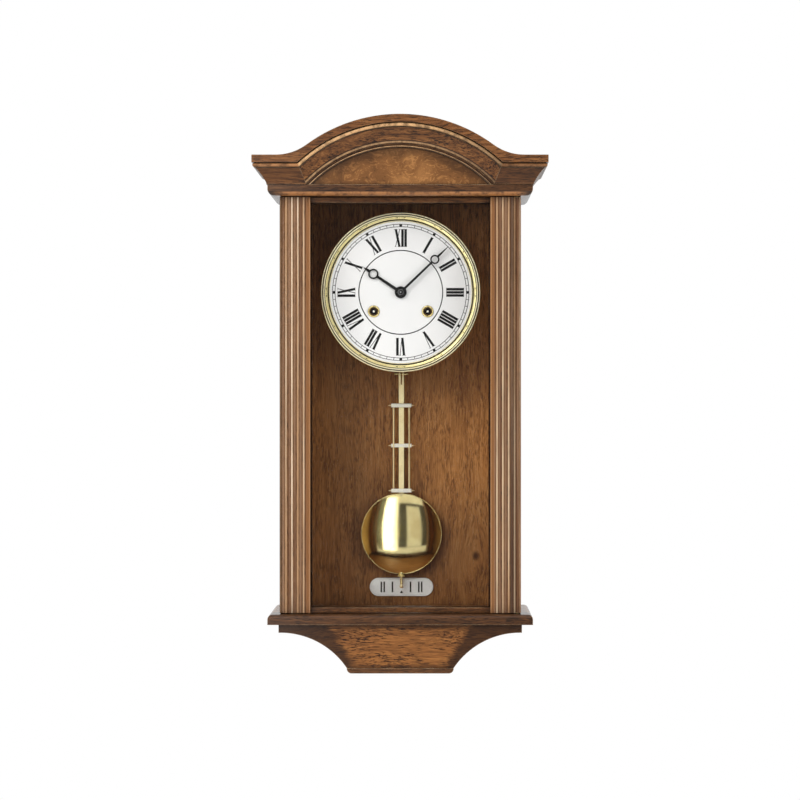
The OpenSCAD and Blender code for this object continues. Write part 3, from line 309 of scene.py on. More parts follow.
@dataclass(frozen=True)
class Recipe:
    """What a material is made by."""

    name: str

    def shader(self, graph: Graph) -> bpy.types.Node:
        """Adds the nodes and gives the shader; each kind of finish has its own.

        Args:
            graph: The material's graph.

        Returns:
            The node that ends the material.
        """
        raise NotImplementedError

    def material(self) -> bpy.types.Material:
        """Builds the finish.

        Returns:
            The material.
        """
        finish = bpy.data.materials.new(self.name)
        finish.use_nodes = True
        graph = Graph(finish.node_tree)
        graph.end(self.shader(graph))
        return finish


class Along(Enum):
    """The way that a piece of wood's grain runs."""

    WIDTH = (0.0, 0.0, 0.0)
    DEPTH = (0.0, 0.0, -90.0)
    HEIGHT = (0.0, 90.0, 0.0)


@dataclass(frozen=True)
class Wood(Recipe):
    """Stained wood under satin lacquer."""

    deep: Rgb = (46, 27, 14)
    body: Rgb = (116, 72, 37)
    pale: Rgb = (154, 104, 58)
    rubbed: Rgb = (212, 178, 138)
    along: Along = Along.WIDTH
    shift: Spot = (0.0, 0.0, 0.0)
    figure: float = 1.0
    contrast: float = 0.75
    porous: float = 0.8
    wear: float = 0.8
    # shade: the share of painted shade in the recesses.
    shade: float = 0.75
    gloss: float = 0.46
    coat: float = 0.4
    edge: float = 1.4
    relief: float = 0.25
    arch: Flat = (-71.0, 167.0)

    def bent(self, graph: Graph, spot: bpy.types.NodeSocket) -> bpy.types.NodeSocket:
        """Leaves the grain straight; wood with a knot bends it here."""
        return spot

    def place(self, graph: Graph) -> bpy.types.NodeSocket:
        """Gives the coordinates in which the grain runs along X."""
        turn = tuple(math.radians(angle) for angle in self.along.value)
        return graph.add("ShaderNodeMapping", None, {
            "Vector": self.bent(graph, graph.spot()), "Rotation": turn}).outputs[0]

    def grain(self, graph: Graph) -> bpy.types.NodeOutputs:
        """Gives the tone, the pores and the patches of the wood."""
        return Effect.use(graph, "wood_grain", {
            "Vector": self.place(graph), "Shift": self.shift, "Figure": self.figure}).outputs

    def figured(self, graph: Graph) -> tuple[bpy.types.NodeSocket, bpy.types.NodeSocket, bpy.types.NodeSocket]:
        """Colours the bare grain.

        Args:
            graph: The material's graph.

        Returns:
            The colour, the height of the grain and the mask of its pores.
        """
        grain = self.grain(graph)
        reach = 0.12 / self.contrast
        colour = graph.ramp(grain["Tone"], (
            (0.5 - reach, tint(self.deep)), (0.5, tint(self.body)), (0.5 + reach, tint(self.pale))))
        patch = graph.spread(grain["Patch"], 0.40, 0.72)
        colour = graph.mix(graph.times(patch, 0.3 * self.contrast), colour, tint(self.deep))
        colour = graph.mix(graph.times(grain["Pores"], self.porous), colour, tint(self.deep, 0.5))
        return colour, grain["Tone"], grain["Pores"]

    def shaded_and_aged(self, graph: Graph, colour: bpy.types.NodeSocket) -> bpy.types.NodeSocket:
        """Leaves the colour as it is; finishes that paint light and shade, and the antiqued face, change it here."""
        return colour

    def pale_streaked(self, graph: Graph, shade: Rgb) -> bpy.types.NodeSocket:
        """Gives a pale colour in which the grain still shows; it carries the painted light on inner faces.

        Args:
            graph: The material's graph.
            shade: The colour between the streaks.

        Returns:
            The streaked colour.
        """
        grain = self.grain(graph)
        pale = graph.mix(graph.spread(grain["Tone"], 0.40, 0.58), tint(shade, 0.68), tint(shade, 1.16))
        return graph.mix(graph.times(grain["Pores"], 0.3), pale, tint(shade, 0.4))

    def shader(self, graph: Graph) -> bpy.types.Node:
        """Paints shade into the recesses of the coloured wood, wears its edges and lacquers it."""
        colour, height, pores = self.figured(graph)
        colour = self.shaded_and_aged(graph, colour)
        edges = Effect.use(graph, "handled_edges", {"Width": self.edge * MM, "Depth": 14 * MM})
        # Painted shade: recesses darken towards the deep colour by the share in shade.
        hollow_darkening = graph.times(edges.outputs["Occluded"], self.shade)
        colour = graph.mix(hollow_darkening, colour, tint(self.deep, 0.28))
        rubbed = graph.times(edges.outputs["Rubbed"], self.wear)
        colour = graph.mix(rubbed, colour, tint(self.rubbed))
        rise = graph.minus(graph.times(height, 0.5), pores)
        bump = graph.add("ShaderNodeBump", None, {
            "Strength": 0.35, "Distance": self.relief * MM, "Height": rise, "Normal": edges.outputs["Normal"]})
        return graph.add("ShaderNodeBsdfPrincipled", None, {
            "Base Color": colour, "Roughness": graph.spread(height, 0.3, 0.7, self.gloss + 0.08, self.gloss - 0.05),
            "Specular IOR Level": 0.18, "Coat Weight": self.coat, "Coat Roughness": 0.13, "Normal": bump})


@dataclass(frozen=True)
class BeadedWood(Wood):
    """Moulded wood whose beads carry painted highlights, partly rubbed wear, between lines of painted shade.

    A bead is given by its height, or its radius on an arch, by half its width and by the strength of its highlight.
    On the right the highlights are weaker and the wood darker: painted shade.
    """

    beads: tuple[Spot, ...] = ((55.1, 2.3, 1.0),)
    arched: bool = False
    groove: float = 0.7
    light: Rgb = (186, 138, 92)
    reach: float = 400.0
    # right and toned: how much bead highlight is left on the right, and how far painted shade darkens the wood
    # there.
    right: float = 1.0
    toned: float = 0.0

    def shaded_and_aged(self, graph: Graph, colour: bpy.types.NodeSocket) -> bpy.types.NodeSocket:
        """Paints highlights, partly rubbed wear, on the beads, painted shade in the grooves beside them, and painted
        shade towards the right.
        """
        spot = graph.spot()
        parts = graph.parts(spot)
        across = parts[2]
        if self.arched:
            rounded = Effect.use(graph, "round_the_arch", {
                "Vector": spot, "Centre": self.arch[0] * MM, "Radius": self.arch[1] * MM}).outputs[0]
            across = graph.parts(rounded)[2]
        ends = graph.border(graph.math("ABSOLUTE", parts[0]), self.reach, self.reach - 22.0)
        uneven = graph.spread(graph.noise(spot, 150.0, 4.0, 0.65), 0.3, 0.6, 0.3, 1.0)
        uneven = graph.times(uneven, ends)
        # Painted shade on the right: the highlights weaken and the wood darkens.
        uneven = graph.times(uneven, graph.spread(parts[0], 0.0, 0.15, 1.0, self.right))
        colour = graph.mix(graph.spread(parts[0], 0.0, 0.17, 0.0, self.toned), colour, tint(self.deep))
        for place, half, share in self.beads:
            away = graph.math("ABSOLUTE", graph.minus(across, place * MM))
            # Painted shade in the grooves beside the bead.
            groove_shade = graph.border(away, half + self.groove + 0.4, half + self.groove - 0.1)
            colour = graph.mix(graph.times(groove_shade, 0.8), colour, tint(self.deep, 0.4))
            # Painted highlight on the bead, partly rubbed wear.
            on_bead = graph.times(graph.border(away, half, half - 0.4), uneven)
            colour = graph.mix(graph.times(on_bead, share), colour, tint(self.light))
        return colour


@dataclass(frozen=True)
class FlutedWood(Wood):
    """Fluted wood: stain lies in the flutes, varied by painted reflections, and the fillets between them carry
    painted highlights as well as rubbed wear.
    """

    front: float = -138.7
    # The fillet colours are painted highlights as well as wear; the flute sheen is a painted reflection; the back
    # colour is painted light.
    fillet: Rgb = (224, 198, 170)
    worn_fillet_highlight: Rgb = (176, 136, 98)
    flute: Rgb = (98, 58, 26)
    flute_sheen: Rgb = (150, 114, 84)
    behind: Rgb = (206, 160, 104)
    inner: float = 111.8
    rim: Rgb = (148, 98, 54)
    stain: Flat = (142.2, 1.2)

    def shaded_and_aged(self, graph: Graph, colour: bpy.types.NodeSocket) -> bpy.types.NodeSocket:
        """Paints highlights, with wear, on what stands at the front, stains the flutes with painted reflections
        among them, stains the inner edge, and paints the back face a light amber that stands in for light.
        """
        spot = graph.spot()
        depth = graph.parts(spot)[1]
        stretched = graph.stretch(spot, (260.0, 260.0, 14.0))
        uneven = graph.spread(graph.noise(stretched, 1.0, 3.0, 0.6), 0.3, 0.65, 0.55, 1.0)
        near = graph.border(depth, self.front + 0.75, self.front + 0.1)
        floor = graph.border(depth, self.front + 0.9, self.front + 1.7)
        floor = graph.times(floor, graph.border(depth, self.front + 3.5, self.front + 2.5))
        # Each flute varies between its stain and a painted reflection.
        shifted = graph.vector("ADD", graph.stretch(spot, (210.0, 0.0, 2.0)), self.shift)
        own = graph.spread(graph.noise(shifted, 1.0, 1.0), 0.42, 0.58)
        toned = graph.mix(own, tint(self.flute), tint(self.flute_sheen))
        colour = graph.mix(graph.times(floor, 0.75), colour, toned)
        # Painted highlight on the fillets, with rubbed wear.
        other = graph.vector("ADD", graph.stretch(spot, (170.0, 0.0, 2.6)), (self.shift[2], 0.0, 3.1))
        light = graph.mix(graph.spread(graph.noise(other, 1.0, 1.0), 0.40, 0.60), tint(self.worn_fillet_highlight),
                          tint(self.fillet))
        colour = graph.mix(graph.times(near, uneven), colour, light)
        across = graph.math("ABSOLUTE", graph.parts(spot)[0])
        edge = graph.border(across, self.inner + 0.8, self.inner - 0.2, 0.0, 0.85)
        colour = graph.mix(edge, colour, tint(self.rim))
        off = graph.math("ABSOLUTE", graph.minus(across, self.stain[0] * MM))
        left_in = graph.border(off, self.stain[1] + 0.8, self.stain[1] - 0.2, 0.0, 0.6)
        colour = graph.mix(graph.times(left_in, uneven), colour, tint(self.deep))
        # Painted light: the back face turns a pale amber.
        back = graph.border(depth, self.front + 18.4, self.front + 19.4, 0.0, 0.9)
        return graph.mix(back, colour, self.pale_streaked(graph, self.behind))


@dataclass(frozen=True)
class SideWood(Wood):
    """Side panel wood with the pale amber of bare wood on the faces that look into the case, strongest on the left
    as painted light.
    """

    inner: float = 131.0
    amber: Rgb = (236, 198, 130)

    def shaded_and_aged(self, graph: Graph, colour: bpy.types.NodeSocket) -> bpy.types.NodeSocket:
        """Turns the inner faces amber, most on the left as painted light."""
        spot = graph.spot()
        over = graph.parts(spot)[0]
        across = graph.math("ABSOLUTE", over)
        inside = graph.border(across, self.inner + 0.4, self.inner - 0.4)
        # Painted light: the left inner face takes the most pale amber.
        lit_area = graph.spread(over, -0.05, 0.05, 0.9, 0.25)
        return graph.mix(graph.times(inside, lit_area), colour, self.pale_streaked(graph, self.amber))


@dataclass(frozen=True)
class ShelfWood(Wood):
    """Shelf wood with a painted reflection in amber on the part of its top that lies inside the case."""

    inside: Spot = (112.0, -117.0, -476.5)
    amber: Rgb = (186, 132, 76)

    def shaded_and_aged(self, graph: Graph, colour: bpy.types.NodeSocket) -> bpy.types.NodeSocket:
        """Paints an amber reflection on the enclosed part of the top, most in its middle."""
        spot = graph.spot()
        parts = graph.parts(spot)
        half, front, top = self.inside
        deep_in = graph.border(parts[1], front, front + 6.0)
        high = graph.border(parts[2], top - 1.0, top - 0.2)
        middle = graph.border(graph.math("ABSOLUTE", parts[0]), half, 0.4 * half, 0.45, 0.85)
        # Painted reflection on the shelf's inner top.
        share = graph.times(graph.times(deep_in, high), middle)
        return graph.mix(share, colour, self.pale_streaked(graph, self.amber))


@dataclass(frozen=True)
class BackWood(Wood):
    """The back panel's upright veneer: a painted pool of light on the right, painted shade to the left and below,
    with a small knot.
    """

    knot: Spot = (92.0, -11.0, -415.0)
    # Middle of the painted pool of light: x and height in millimetres.
    lit_area: Flat = (85.0, -230.0)

    def from_knot(self, graph: Graph, spot: bpy.types.NodeSocket) -> bpy.types.NodeSocket:
        """Gives the way from the knot's heart to a place."""
        return graph.vector("SUBTRACT", spot, tuple(value * MM for value in self.knot))

    def bent(self, graph: Graph, spot: bpy.types.NodeSocket) -> bpy.types.NodeSocket:
        """Bends the upright grain round the knot."""
        away = self.from_knot(graph, spot)
        near = graph.border(graph.vector("LENGTH", graph.stretch(away, (1.0, 0.0, 0.45))), 30.0, 2.0)
        return graph.vector("ADD", spot, graph.vector("SCALE", graph.stretch(away, (-0.75, 0.0, 0.0)), near))

    def shaded_and_aged(self, graph: Graph, colour: bpy.types.NodeSocket) -> bpy.types.NodeSocket:
        """Leaves the painted pool of light bright, darkens the rest as painted shade, and darkens the heart of the
        knot.
        """
        spot = graph.spot()
        parts = graph.parts(spot)
        # Painted light and shade: the pool of light stays bright, the rest darkens.
        low = graph.minus(graph.math("MINIMUM", parts[2], (self.lit_area[1] + 30.0) * MM), self.lit_area[1] * MM)
        over = graph.minus(parts[0], self.lit_area[0] * MM)
        away = graph.vector("LENGTH", graph.axes(graph.times(over, 1 / 0.11), 0.0,
                                                 graph.times(low, 1 / 0.16)))
        away = graph.times_plus(graph.noise(spot, 16.0, 3.0), 0.5, graph.minus(away, 0.25))
        colour = graph.mix(graph.spread(away, 0.3, 1.5, 0.0, 0.55), colour, tint(self.deep, 0.22))
        reach = graph.vector("LENGTH", graph.stretch(self.from_knot(graph, spot), (1.0, 0.0, 0.7)))
        return graph.mix(graph.border(reach, 6.0, 1.0), colour, tint(self.deep, 0.35))


@dataclass(frozen=True)
class BurlVeneer(Wood):
    """Swirling burl veneer."""

    def figured(self, graph: Graph) -> tuple[bpy.types.NodeSocket, bpy.types.NodeSocket, bpy.types.NodeSocket]:
        """Colours the swirls, clouds and eyes of the burl.

        Args:
            graph: The material's graph.

        Returns:
            The colour, the height of the figure and the mask of its eyes.
        """
        spot = graph.spot()
        spot = graph.vector("ADD", spot, self.shift)
        for scale, push in ((17.0, 0.055), (46.0, 0.022)):
            swirl = graph.vector("SUBTRACT", graph.noise(spot, scale, 2.0, colour=True), (0.5, 0.5, 0.5))
            spot = graph.vector("ADD", spot, graph.vector("SCALE", swirl, push))
        cloud = graph.noise(spot, 21.0, 3.0, 0.55)
        curl = graph.noise(graph.stretch(spot, (1.0, 1.0, 1.6)), 105.0, 6.0, 0.66, 1.4)
        lines = graph.math("SINE", graph.times(curl, 34.0))
        tone = graph.times_plus(curl, 0.5, graph.times(cloud, 0.5))
        tone = graph.times_plus(lines, 0.035, tone)
        colour = graph.ramp(tone, (
            (0.34, tint(self.deep)), (0.48, tint(self.body)), (0.62, tint(self.pale))))
        cells = graph.add("ShaderNodeTexVoronoi", {"feature": "F1"}, {"Vector": spot, "Scale": 95.0})
        eyes = graph.spread(cells.outputs["Distance"], 0.16, 0.05)
        eyes = graph.times(eyes, graph.spread(cloud, 0.45, 0.6))
        colour = graph.mix(graph.times(eyes, 0.6), colour, tint(self.deep))
        return colour, tone, eyes

    def shaded_and_aged(self, graph: Graph, colour: bpy.types.NodeSocket) -> bpy.types.NodeSocket:
        """Darkens the veneer towards its arched edge: painted shade under the arch moulding."""
        spot = graph.spot()
        radius = graph.vector("LENGTH", graph.vector("SUBTRACT", graph.vector(
            "MULTIPLY", spot, (1.0, 0.0, 1.0)), (0.0, 0.0, self.arch[0] * MM)))
        ragged = graph.times_plus(graph.noise(spot, 55.0, 3.0, 0.6), 22 * MM, radius)
        rim = graph.border(ragged, self.arch[1] - 6.0, self.arch[1] + 11.0)
        return graph.mix(graph.times(rim, 0.72), colour, tint(self.deep, 0.6))


@dataclass(frozen=True)
class AntiquedWood(Wood):
    """Bright figured wood whose stain deepens towards the hollow sides of its face; darker along the top, partly
    stain and partly a painted shadow under the shelf, and darker at its foot.
    """

    low: float = -540.0
    top: float = -488.5
    half_at_foot: float = 44.0
    lean: float = 0.6
    soft: float = 16.0

    def shaded_and_aged(self, graph: Graph, colour: bpy.types.NodeSocket) -> bpy.types.NodeSocket:
        """Darkens the face towards its sides, towards its top with stain and a painted shadow, and towards its foot.
        """
        spot = graph.spot()
        over, _, height = graph.parts(spot)
        ragged = graph.times_plus(graph.noise(spot, 70.0, 4.0, 0.6), 24 * MM, -12 * MM)
        rise = graph.minus(height, self.low * MM)
        edge = graph.times_plus(rise, -self.lean, graph.math("ABSOLUTE", over))
        edge = graph.plus(edge, ragged)
        sides = graph.border(edge, self.half_at_foot, self.half_at_foot + self.soft)
        # Darker along the top: partly stain, partly painted shadow under the shelf.
        high = graph.times_plus(ragged, 0.25, height)
        high = graph.border(high, self.top - 9.0, self.top - 1.0)
        lowest = graph.border(rise, 5.0, 2.0)
        rim = graph.math("MAXIMUM", sides, graph.times(graph.math("MAXIMUM", high, lowest), 0.55))
        return graph.mix(graph.times(rim, 0.88), colour, tint(self.deep, 0.55))


class Polish(Enum):
    """How a metal face is worked: stretch of the marks, base roughness and its spread."""

    MIRROR = ((160.0, 160.0, 160.0), 0.10, 0.05)
    BRIGHT = ((260.0, 260.0, 40.0), 0.20, 0.08)
    SOFT = ((280.0, 280.0, 50.0), 0.30, 0.08)
    SATIN = ((300.0, 300.0, 60.0), 0.38, 0.08)
    BRUSHED = ((60.0, 60.0, 1600.0), 0.34, 0.12)
    CAST = ((700.0, 700.0, 700.0), 0.55, 0.15)


@dataclass(frozen=True)
class Metal(Recipe):
    """Bare, plated or blued metal with a little age."""

    face: Rgb
    dull: Rgb
    polish: Polish = Polish.BRIGHT
    hollow_darkening: float = 0.5
    edge: float = 0.35
    metallic: float = 1.0
    relief: float = 0.05

    def shader(self, graph: Graph) -> bpy.types.Node:
        """Dulls, specks and wipes the polished face."""
        stretch, rough, span = self.polish.value
        spot = graph.spot()
        age = Effect.use(graph, "metal_age", {"Vector": spot, "Stretch": stretch})
        edges = Effect.use(graph, "handled_edges", {"Width": self.edge * MM, "Depth": 4 * MM})
        cloud = graph.spread(age.outputs["Cloud"], 0.42, 0.72)
        colour = graph.mix(graph.times(cloud, 0.45), tint(self.face), tint(self.dull))
        colour = graph.mix(graph.times(edges.outputs["Occluded"], self.hollow_darkening), colour,
                           tint(self.dull, 0.35))
        colour = graph.mix(graph.times(age.outputs["Specks"], 0.35), colour, tint(self.dull, 0.5))
        sheen = graph.spread(graph.plus(cloud, age.outputs["Wipes"]), 0.3, 1.6, rough, rough + span)
        bump = graph.add("ShaderNodeBump", None, {
            "Strength": 0.12 if self.polish is Polish.MIRROR else 0.3, "Distance": self.relief * MM,
            "Height": age.outputs["Wipes"], "Normal": edges.outputs["Normal"]})
        return graph.add("ShaderNodeBsdfPrincipled", None, {
            "Base Color": colour, "Metallic": self.metallic, "Roughness": sheen, "Normal": bump})


@dataclass(frozen=True)
class Paint(Recipe):
    """Enamel or printing colour with a faint unevenness."""

    face: Rgb
    low: Rgb
    roughness: float = 0.35
    coat: float = 0.2
    orange_peel: float = 0.1
    relief: float = 0.04

    def shader(self, graph: Graph) -> bpy.types.Node:
        """Clouds the colour a little and gives it its fine skin."""
        spot = graph.spot()
        patch = graph.noise(spot, 14.0, 3.0)
        grain = graph.noise(spot, 1300.0, 2.0)
        colour = graph.mix(graph.spread(patch, 0.35, 0.7), tint(self.face), tint(self.low))
        bump = graph.add("ShaderNodeBump", None, {
            "Strength": self.orange_peel, "Distance": self.relief * MM, "Height": grain})
        sheen = graph.spread(grain, 0.2, 0.8, self.roughness - 0.04, self.roughness + 0.06)
        return graph.add("ShaderNodeBsdfPrincipled", None, {
            "Base Color": colour, "Roughness": sheen, "Specular IOR Level": 0.3, "Coat Weight": self.coat,
            "Coat Roughness": 0.1, "Normal": bump})


@dataclass(frozen=True)
class Glass(Recipe):
    """Clear flat glass that lets the studio's light through."""

    roughness: float = 0.02

    def shader(self, graph: Graph) -> bpy.types.Node:
        """Smears the pane faintly and lets the light that shades and bounces go straight through it."""
        smear = graph.spread(graph.noise(graph.spot(), 16.0, 4.0, 0.6, 0.8), 0.45, 0.8,
                             self.roughness, self.roughness + 0.05)
        pane = graph.add("ShaderNodeBsdfPrincipled", None, {
            "Base Color": (0.99, 0.99, 0.985, 1.0), "Roughness": smear, "IOR": 1.45, "Transmission Weight": 1.0})
        clear = graph.add("ShaderNodeBsdfTransparent", None, {"Color": (0.965, 0.965, 0.96, 1.0)})
        path = graph.add("ShaderNodeLightPath")
        passing = graph.math("MAXIMUM", path.outputs["Is Shadow Ray"], path.outputs["Is Diffuse Ray"])
        return graph.blend(passing, pane, clear)


class Finish(Enum):
    """Every finish on the clock, with the record's slot that it belongs to."""

    WALNUT_WIDE = (Wood("walnut_across"), "walnut")
    WALNUT_DARK = (Wood("walnut_dark", shift=(0.17, 0.3, 0.05), deep=(42, 26, 15), body=(98, 62, 34),
                        pale=(136, 92, 54), coat=0.6), "walnut")
    WALNUT_SHELF = (ShelfWood("walnut_shelf", shift=(0.17, 0.3, 0.05), deep=(38, 24, 14), body=(78, 48, 25),
                              pale=(116, 75, 41), coat=0.5), "walnut")
    WALNUT_BASE = (BeadedWood("walnut_base", shift=(0.4, 0.13, 0.25), deep=(42, 26, 15), body=(82, 51, 27),
                              pale=(120, 80, 46), beads=((22.4, 2.7, 1.0),), groove=0.3, light=(176, 118, 68),
                              reach=156.0, coat=0.5), "walnut")
    WALNUT_TOP = (Wood("walnut_pediment", shift=(0.31, 0.04, 0.11), coat=0.3, wear=0.4), "walnut")
    # The crown and the arch are darker towards the right: painted shade.
    WALNUT_CROWN = (BeadedWood("walnut_crown", shift=(0.31, 0.04, 0.11), body=(100, 61, 31), pale=(140, 92, 50),
                               coat=0.2, wear=0.4, light=(172, 120, 76), right=0.5, toned=0.3), "walnut")
    WALNUT_ARCH = (BeadedWood("walnut_arch", shift=(0.1, 0.02, 0.3), body=(122, 76, 38), pale=(164, 110, 60),
                              beads=((174.1, 2.3, 1.0), (154.8, 1.2, 0.6), (149.9, 0.6, 0.9)), arched=True,
                              groove=1.0, light=(216, 170, 120), coat=0.25, wear=0.3, contrast=0.9,
                              porous=0.95, right=0.25, toned=0.12), "walnut")
    WALNUT_DEEP = (Wood("walnut_front_to_back", along=Along.DEPTH, shift=(0.2, 0.1, 0.0)), "walnut")
    WALNUT_LEFT = (FlutedWood("walnut_left_stile", along=Along.HEIGHT, shift=(0.2, 0.07, 0.4), body=(136, 96, 62),
                              pale=(172, 130, 90), wear=0.6, shade=0.4, contrast=0.5, edge=0.8), "walnut")
    WALNUT_RIGHT = (FlutedWood("walnut_right_stile", along=Along.HEIGHT, shift=(0.7, 0.31, 0.2),
                               body=(120, 80, 49), pale=(154, 112, 75), wear=0.6, shade=0.4, contrast=0.5,
                               edge=0.8, fillet=(212, 184, 152), stain=(134.6, 3.4)), "walnut")
    WALNUT_SIDE = (SideWood("walnut_sides", along=Along.HEIGHT, shift=(0.5, 0.5, 0.1), shade=0.1), "walnut")
    WALNUT_APRON = (AntiquedWood("walnut_apron", deep=(60, 34, 16), body=(140, 88, 42), pale=(176, 118, 60),
                                 figure=1.6, shade=0.5, porous=1.0, shift=(0.05, 0.2, 0.62)), "walnut")
    BACK = (BackWood("walnut_back_panel", deep=(124, 78, 38), body=(192, 130, 68), pale=(222, 162, 96),
                     along=Along.HEIGHT, wear=0.1, shade=0.4, gloss=0.5, coat=0.05, figure=0.6, contrast=0.75,
                     porous=0.7), "walnut_back")
    BURL = (BurlVeneer("burl_veneer", deep=(70, 44, 22), body=(118, 76, 38), pale=(162, 112, 62), wear=0.0,
                       shade=0.85, coat=0.3, arch=(-71.0, 148.0)), "burl")
    RAW_WOOD = (Wood("raw_wood_planed", deep=(118, 86, 54), body=(176, 140, 98), pale=(206, 172, 126),
                     rubbed=(214, 186, 144), gloss=0.6, coat=0.0, wear=0.3, shade=0.5), "raw_wood")
    GLASS = (Glass("door_glass_clear"), "glass")
    BRASS_MIRROR = (Metal("brass_mirror", (236, 220, 160), (206, 178, 110), Polish.MIRROR), "polished_brass")
    BRASS_BRIGHT = (Metal("brass_bright", (240, 222, 158), (204, 176, 104), Polish.BRIGHT), "polished_brass")
    BRASS_SATIN = (Metal("brass_satin", (252, 236, 184), (230, 204, 144), Polish.SATIN, 0.35, metallic=0.85),
                   "polished_brass")
    # Near-white brass that stands in for a highlight, on the crossbars and the arbors' ends.
    BRASS_PALE_HIGHLIGHT = (Metal("brass_pale_highlight", (255, 253, 240), (252, 244, 222), Polish.SOFT, 0.1, metallic=0.3),
                  "polished_brass")
    # Pale painted highlight for the bezel's rolls and inner step.
    BEZEL_HIGHLIGHT = (Metal("bezel_highlight_cream", (255, 246, 208), (248, 232, 178), Polish.SOFT, 0.1, metallic=0.8),
                   "polished_brass")
    BEZEL_GOLD = (Metal("bezel_gold", (252, 238, 174), (232, 208, 134), Polish.SOFT, 0.4, metallic=0.65),
                  "polished_brass")
    BRASS_PLATE = (Metal("brass_brushed", (222, 194, 120), (178, 142, 78), Polish.BRUSHED), "satin_brass")
    # Dark for painted shade in the bezel's grooves, and for the patina in its engraving.
    BRASS_SHADE_AND_PATINA = (Metal("brass_shade_and_patina", (44, 30, 12), (20, 13, 5), Polish.CAST, metallic=0.2), "polished_brass")
    STEEL = (Metal("steel_ground", (188, 190, 192), (140, 140, 140), Polish.BRUSHED), "steel")
    BLUED_STEEL = (Metal("steel_blued", (70, 72, 84), (38, 40, 52), Polish.BRIGHT), "dark_steel")
    SILVERED = (Metal("silvered_brushed", (242, 247, 247), (230, 234, 234), Polish.BRUSHED, 0.3, metallic=0.35),
                "silvered_plate")
    ENAMEL = (Paint("dial_enamel", (245, 245, 246), (239, 240, 241)), "enamel_white")
    PRINT_BLACK = (Paint("print_black", (8, 8, 9), (12, 12, 12), 0.5, 0.0, 0.05), "hand_black")
    HAND_BLACK = (Paint("hand_lacquer_black", (7, 7, 8), (11, 11, 12), 0.5, 0.0, 0.05), "hand_black")
    NUT_BLACK = (Paint("hand_nut_black", (50, 50, 52), (30, 30, 32), 0.34, 0.2, 0.05), "hand_black")
    # Painted shade inside the winding holes.
    WELL_SHADE = (Paint("winding_well_shade", (124, 94, 48), (96, 70, 32), 0.5, 0.1, 0.05), "hand_black")

    def get(self) -> bpy.types.Material:
        """Gives the finish's material, making it the first time."""
        recipe = self.value[0]
        return bpy.data.materials.get(recipe.name) or recipe.material()

    @property
    def slot(self) -> str:
        """The record's slot."""
        return self.value[1]


def hang(name: str, data: bpy.types.ID) -> bpy.types.Object:
    """Puts an object with the given data into the scene."""
    piece = bpy.data.objects.new(name, data)
    bpy.context.scene.collection.objects.link(piece)
    return piece


def settle(piece: bpy.types.Object) -> bpy.types.Object:
    """Turns what a piece's modifiers make into its plain mesh.

    Args:
        piece: The object, whose modifiers are removed.

    Returns:
        The same object.
    """
    view = bpy.context.evaluated_depsgraph_get()
    mesh = bpy.data.meshes.new_from_object(piece.evaluated_get(view))
    piece.modifiers.clear()
    piece.data = mesh
    return piece


def carry(piece: bpy.types.Object, body: str) -> bpy.types.Object:
    """Hands a finished piece to the body that it moves with."""
    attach(piece, body)
    LOG.info("%s rides on %s", piece.name, body)
    return piece


def arc(centre: Flat, radii: Flat, start: float, end: float, steps: int) -> list[Flat]:
    """Gives points on a round or oval arc.

    Args:
        centre: Its middle.
        radii: Its reach along the first and the second axis.
        start: Angle in degrees of the first point.
        end: Angle in degrees of the last point.
        steps: Number of equal steps between them.

    Returns:
        The points.
    """
    turns = (math.radians(start + (end - start) * step / steps) for step in range(steps + 1))
    return [(centre[0] + radii[0] * math.cos(turn), centre[1] + radii[1] * math.sin(turn)) for turn in turns]


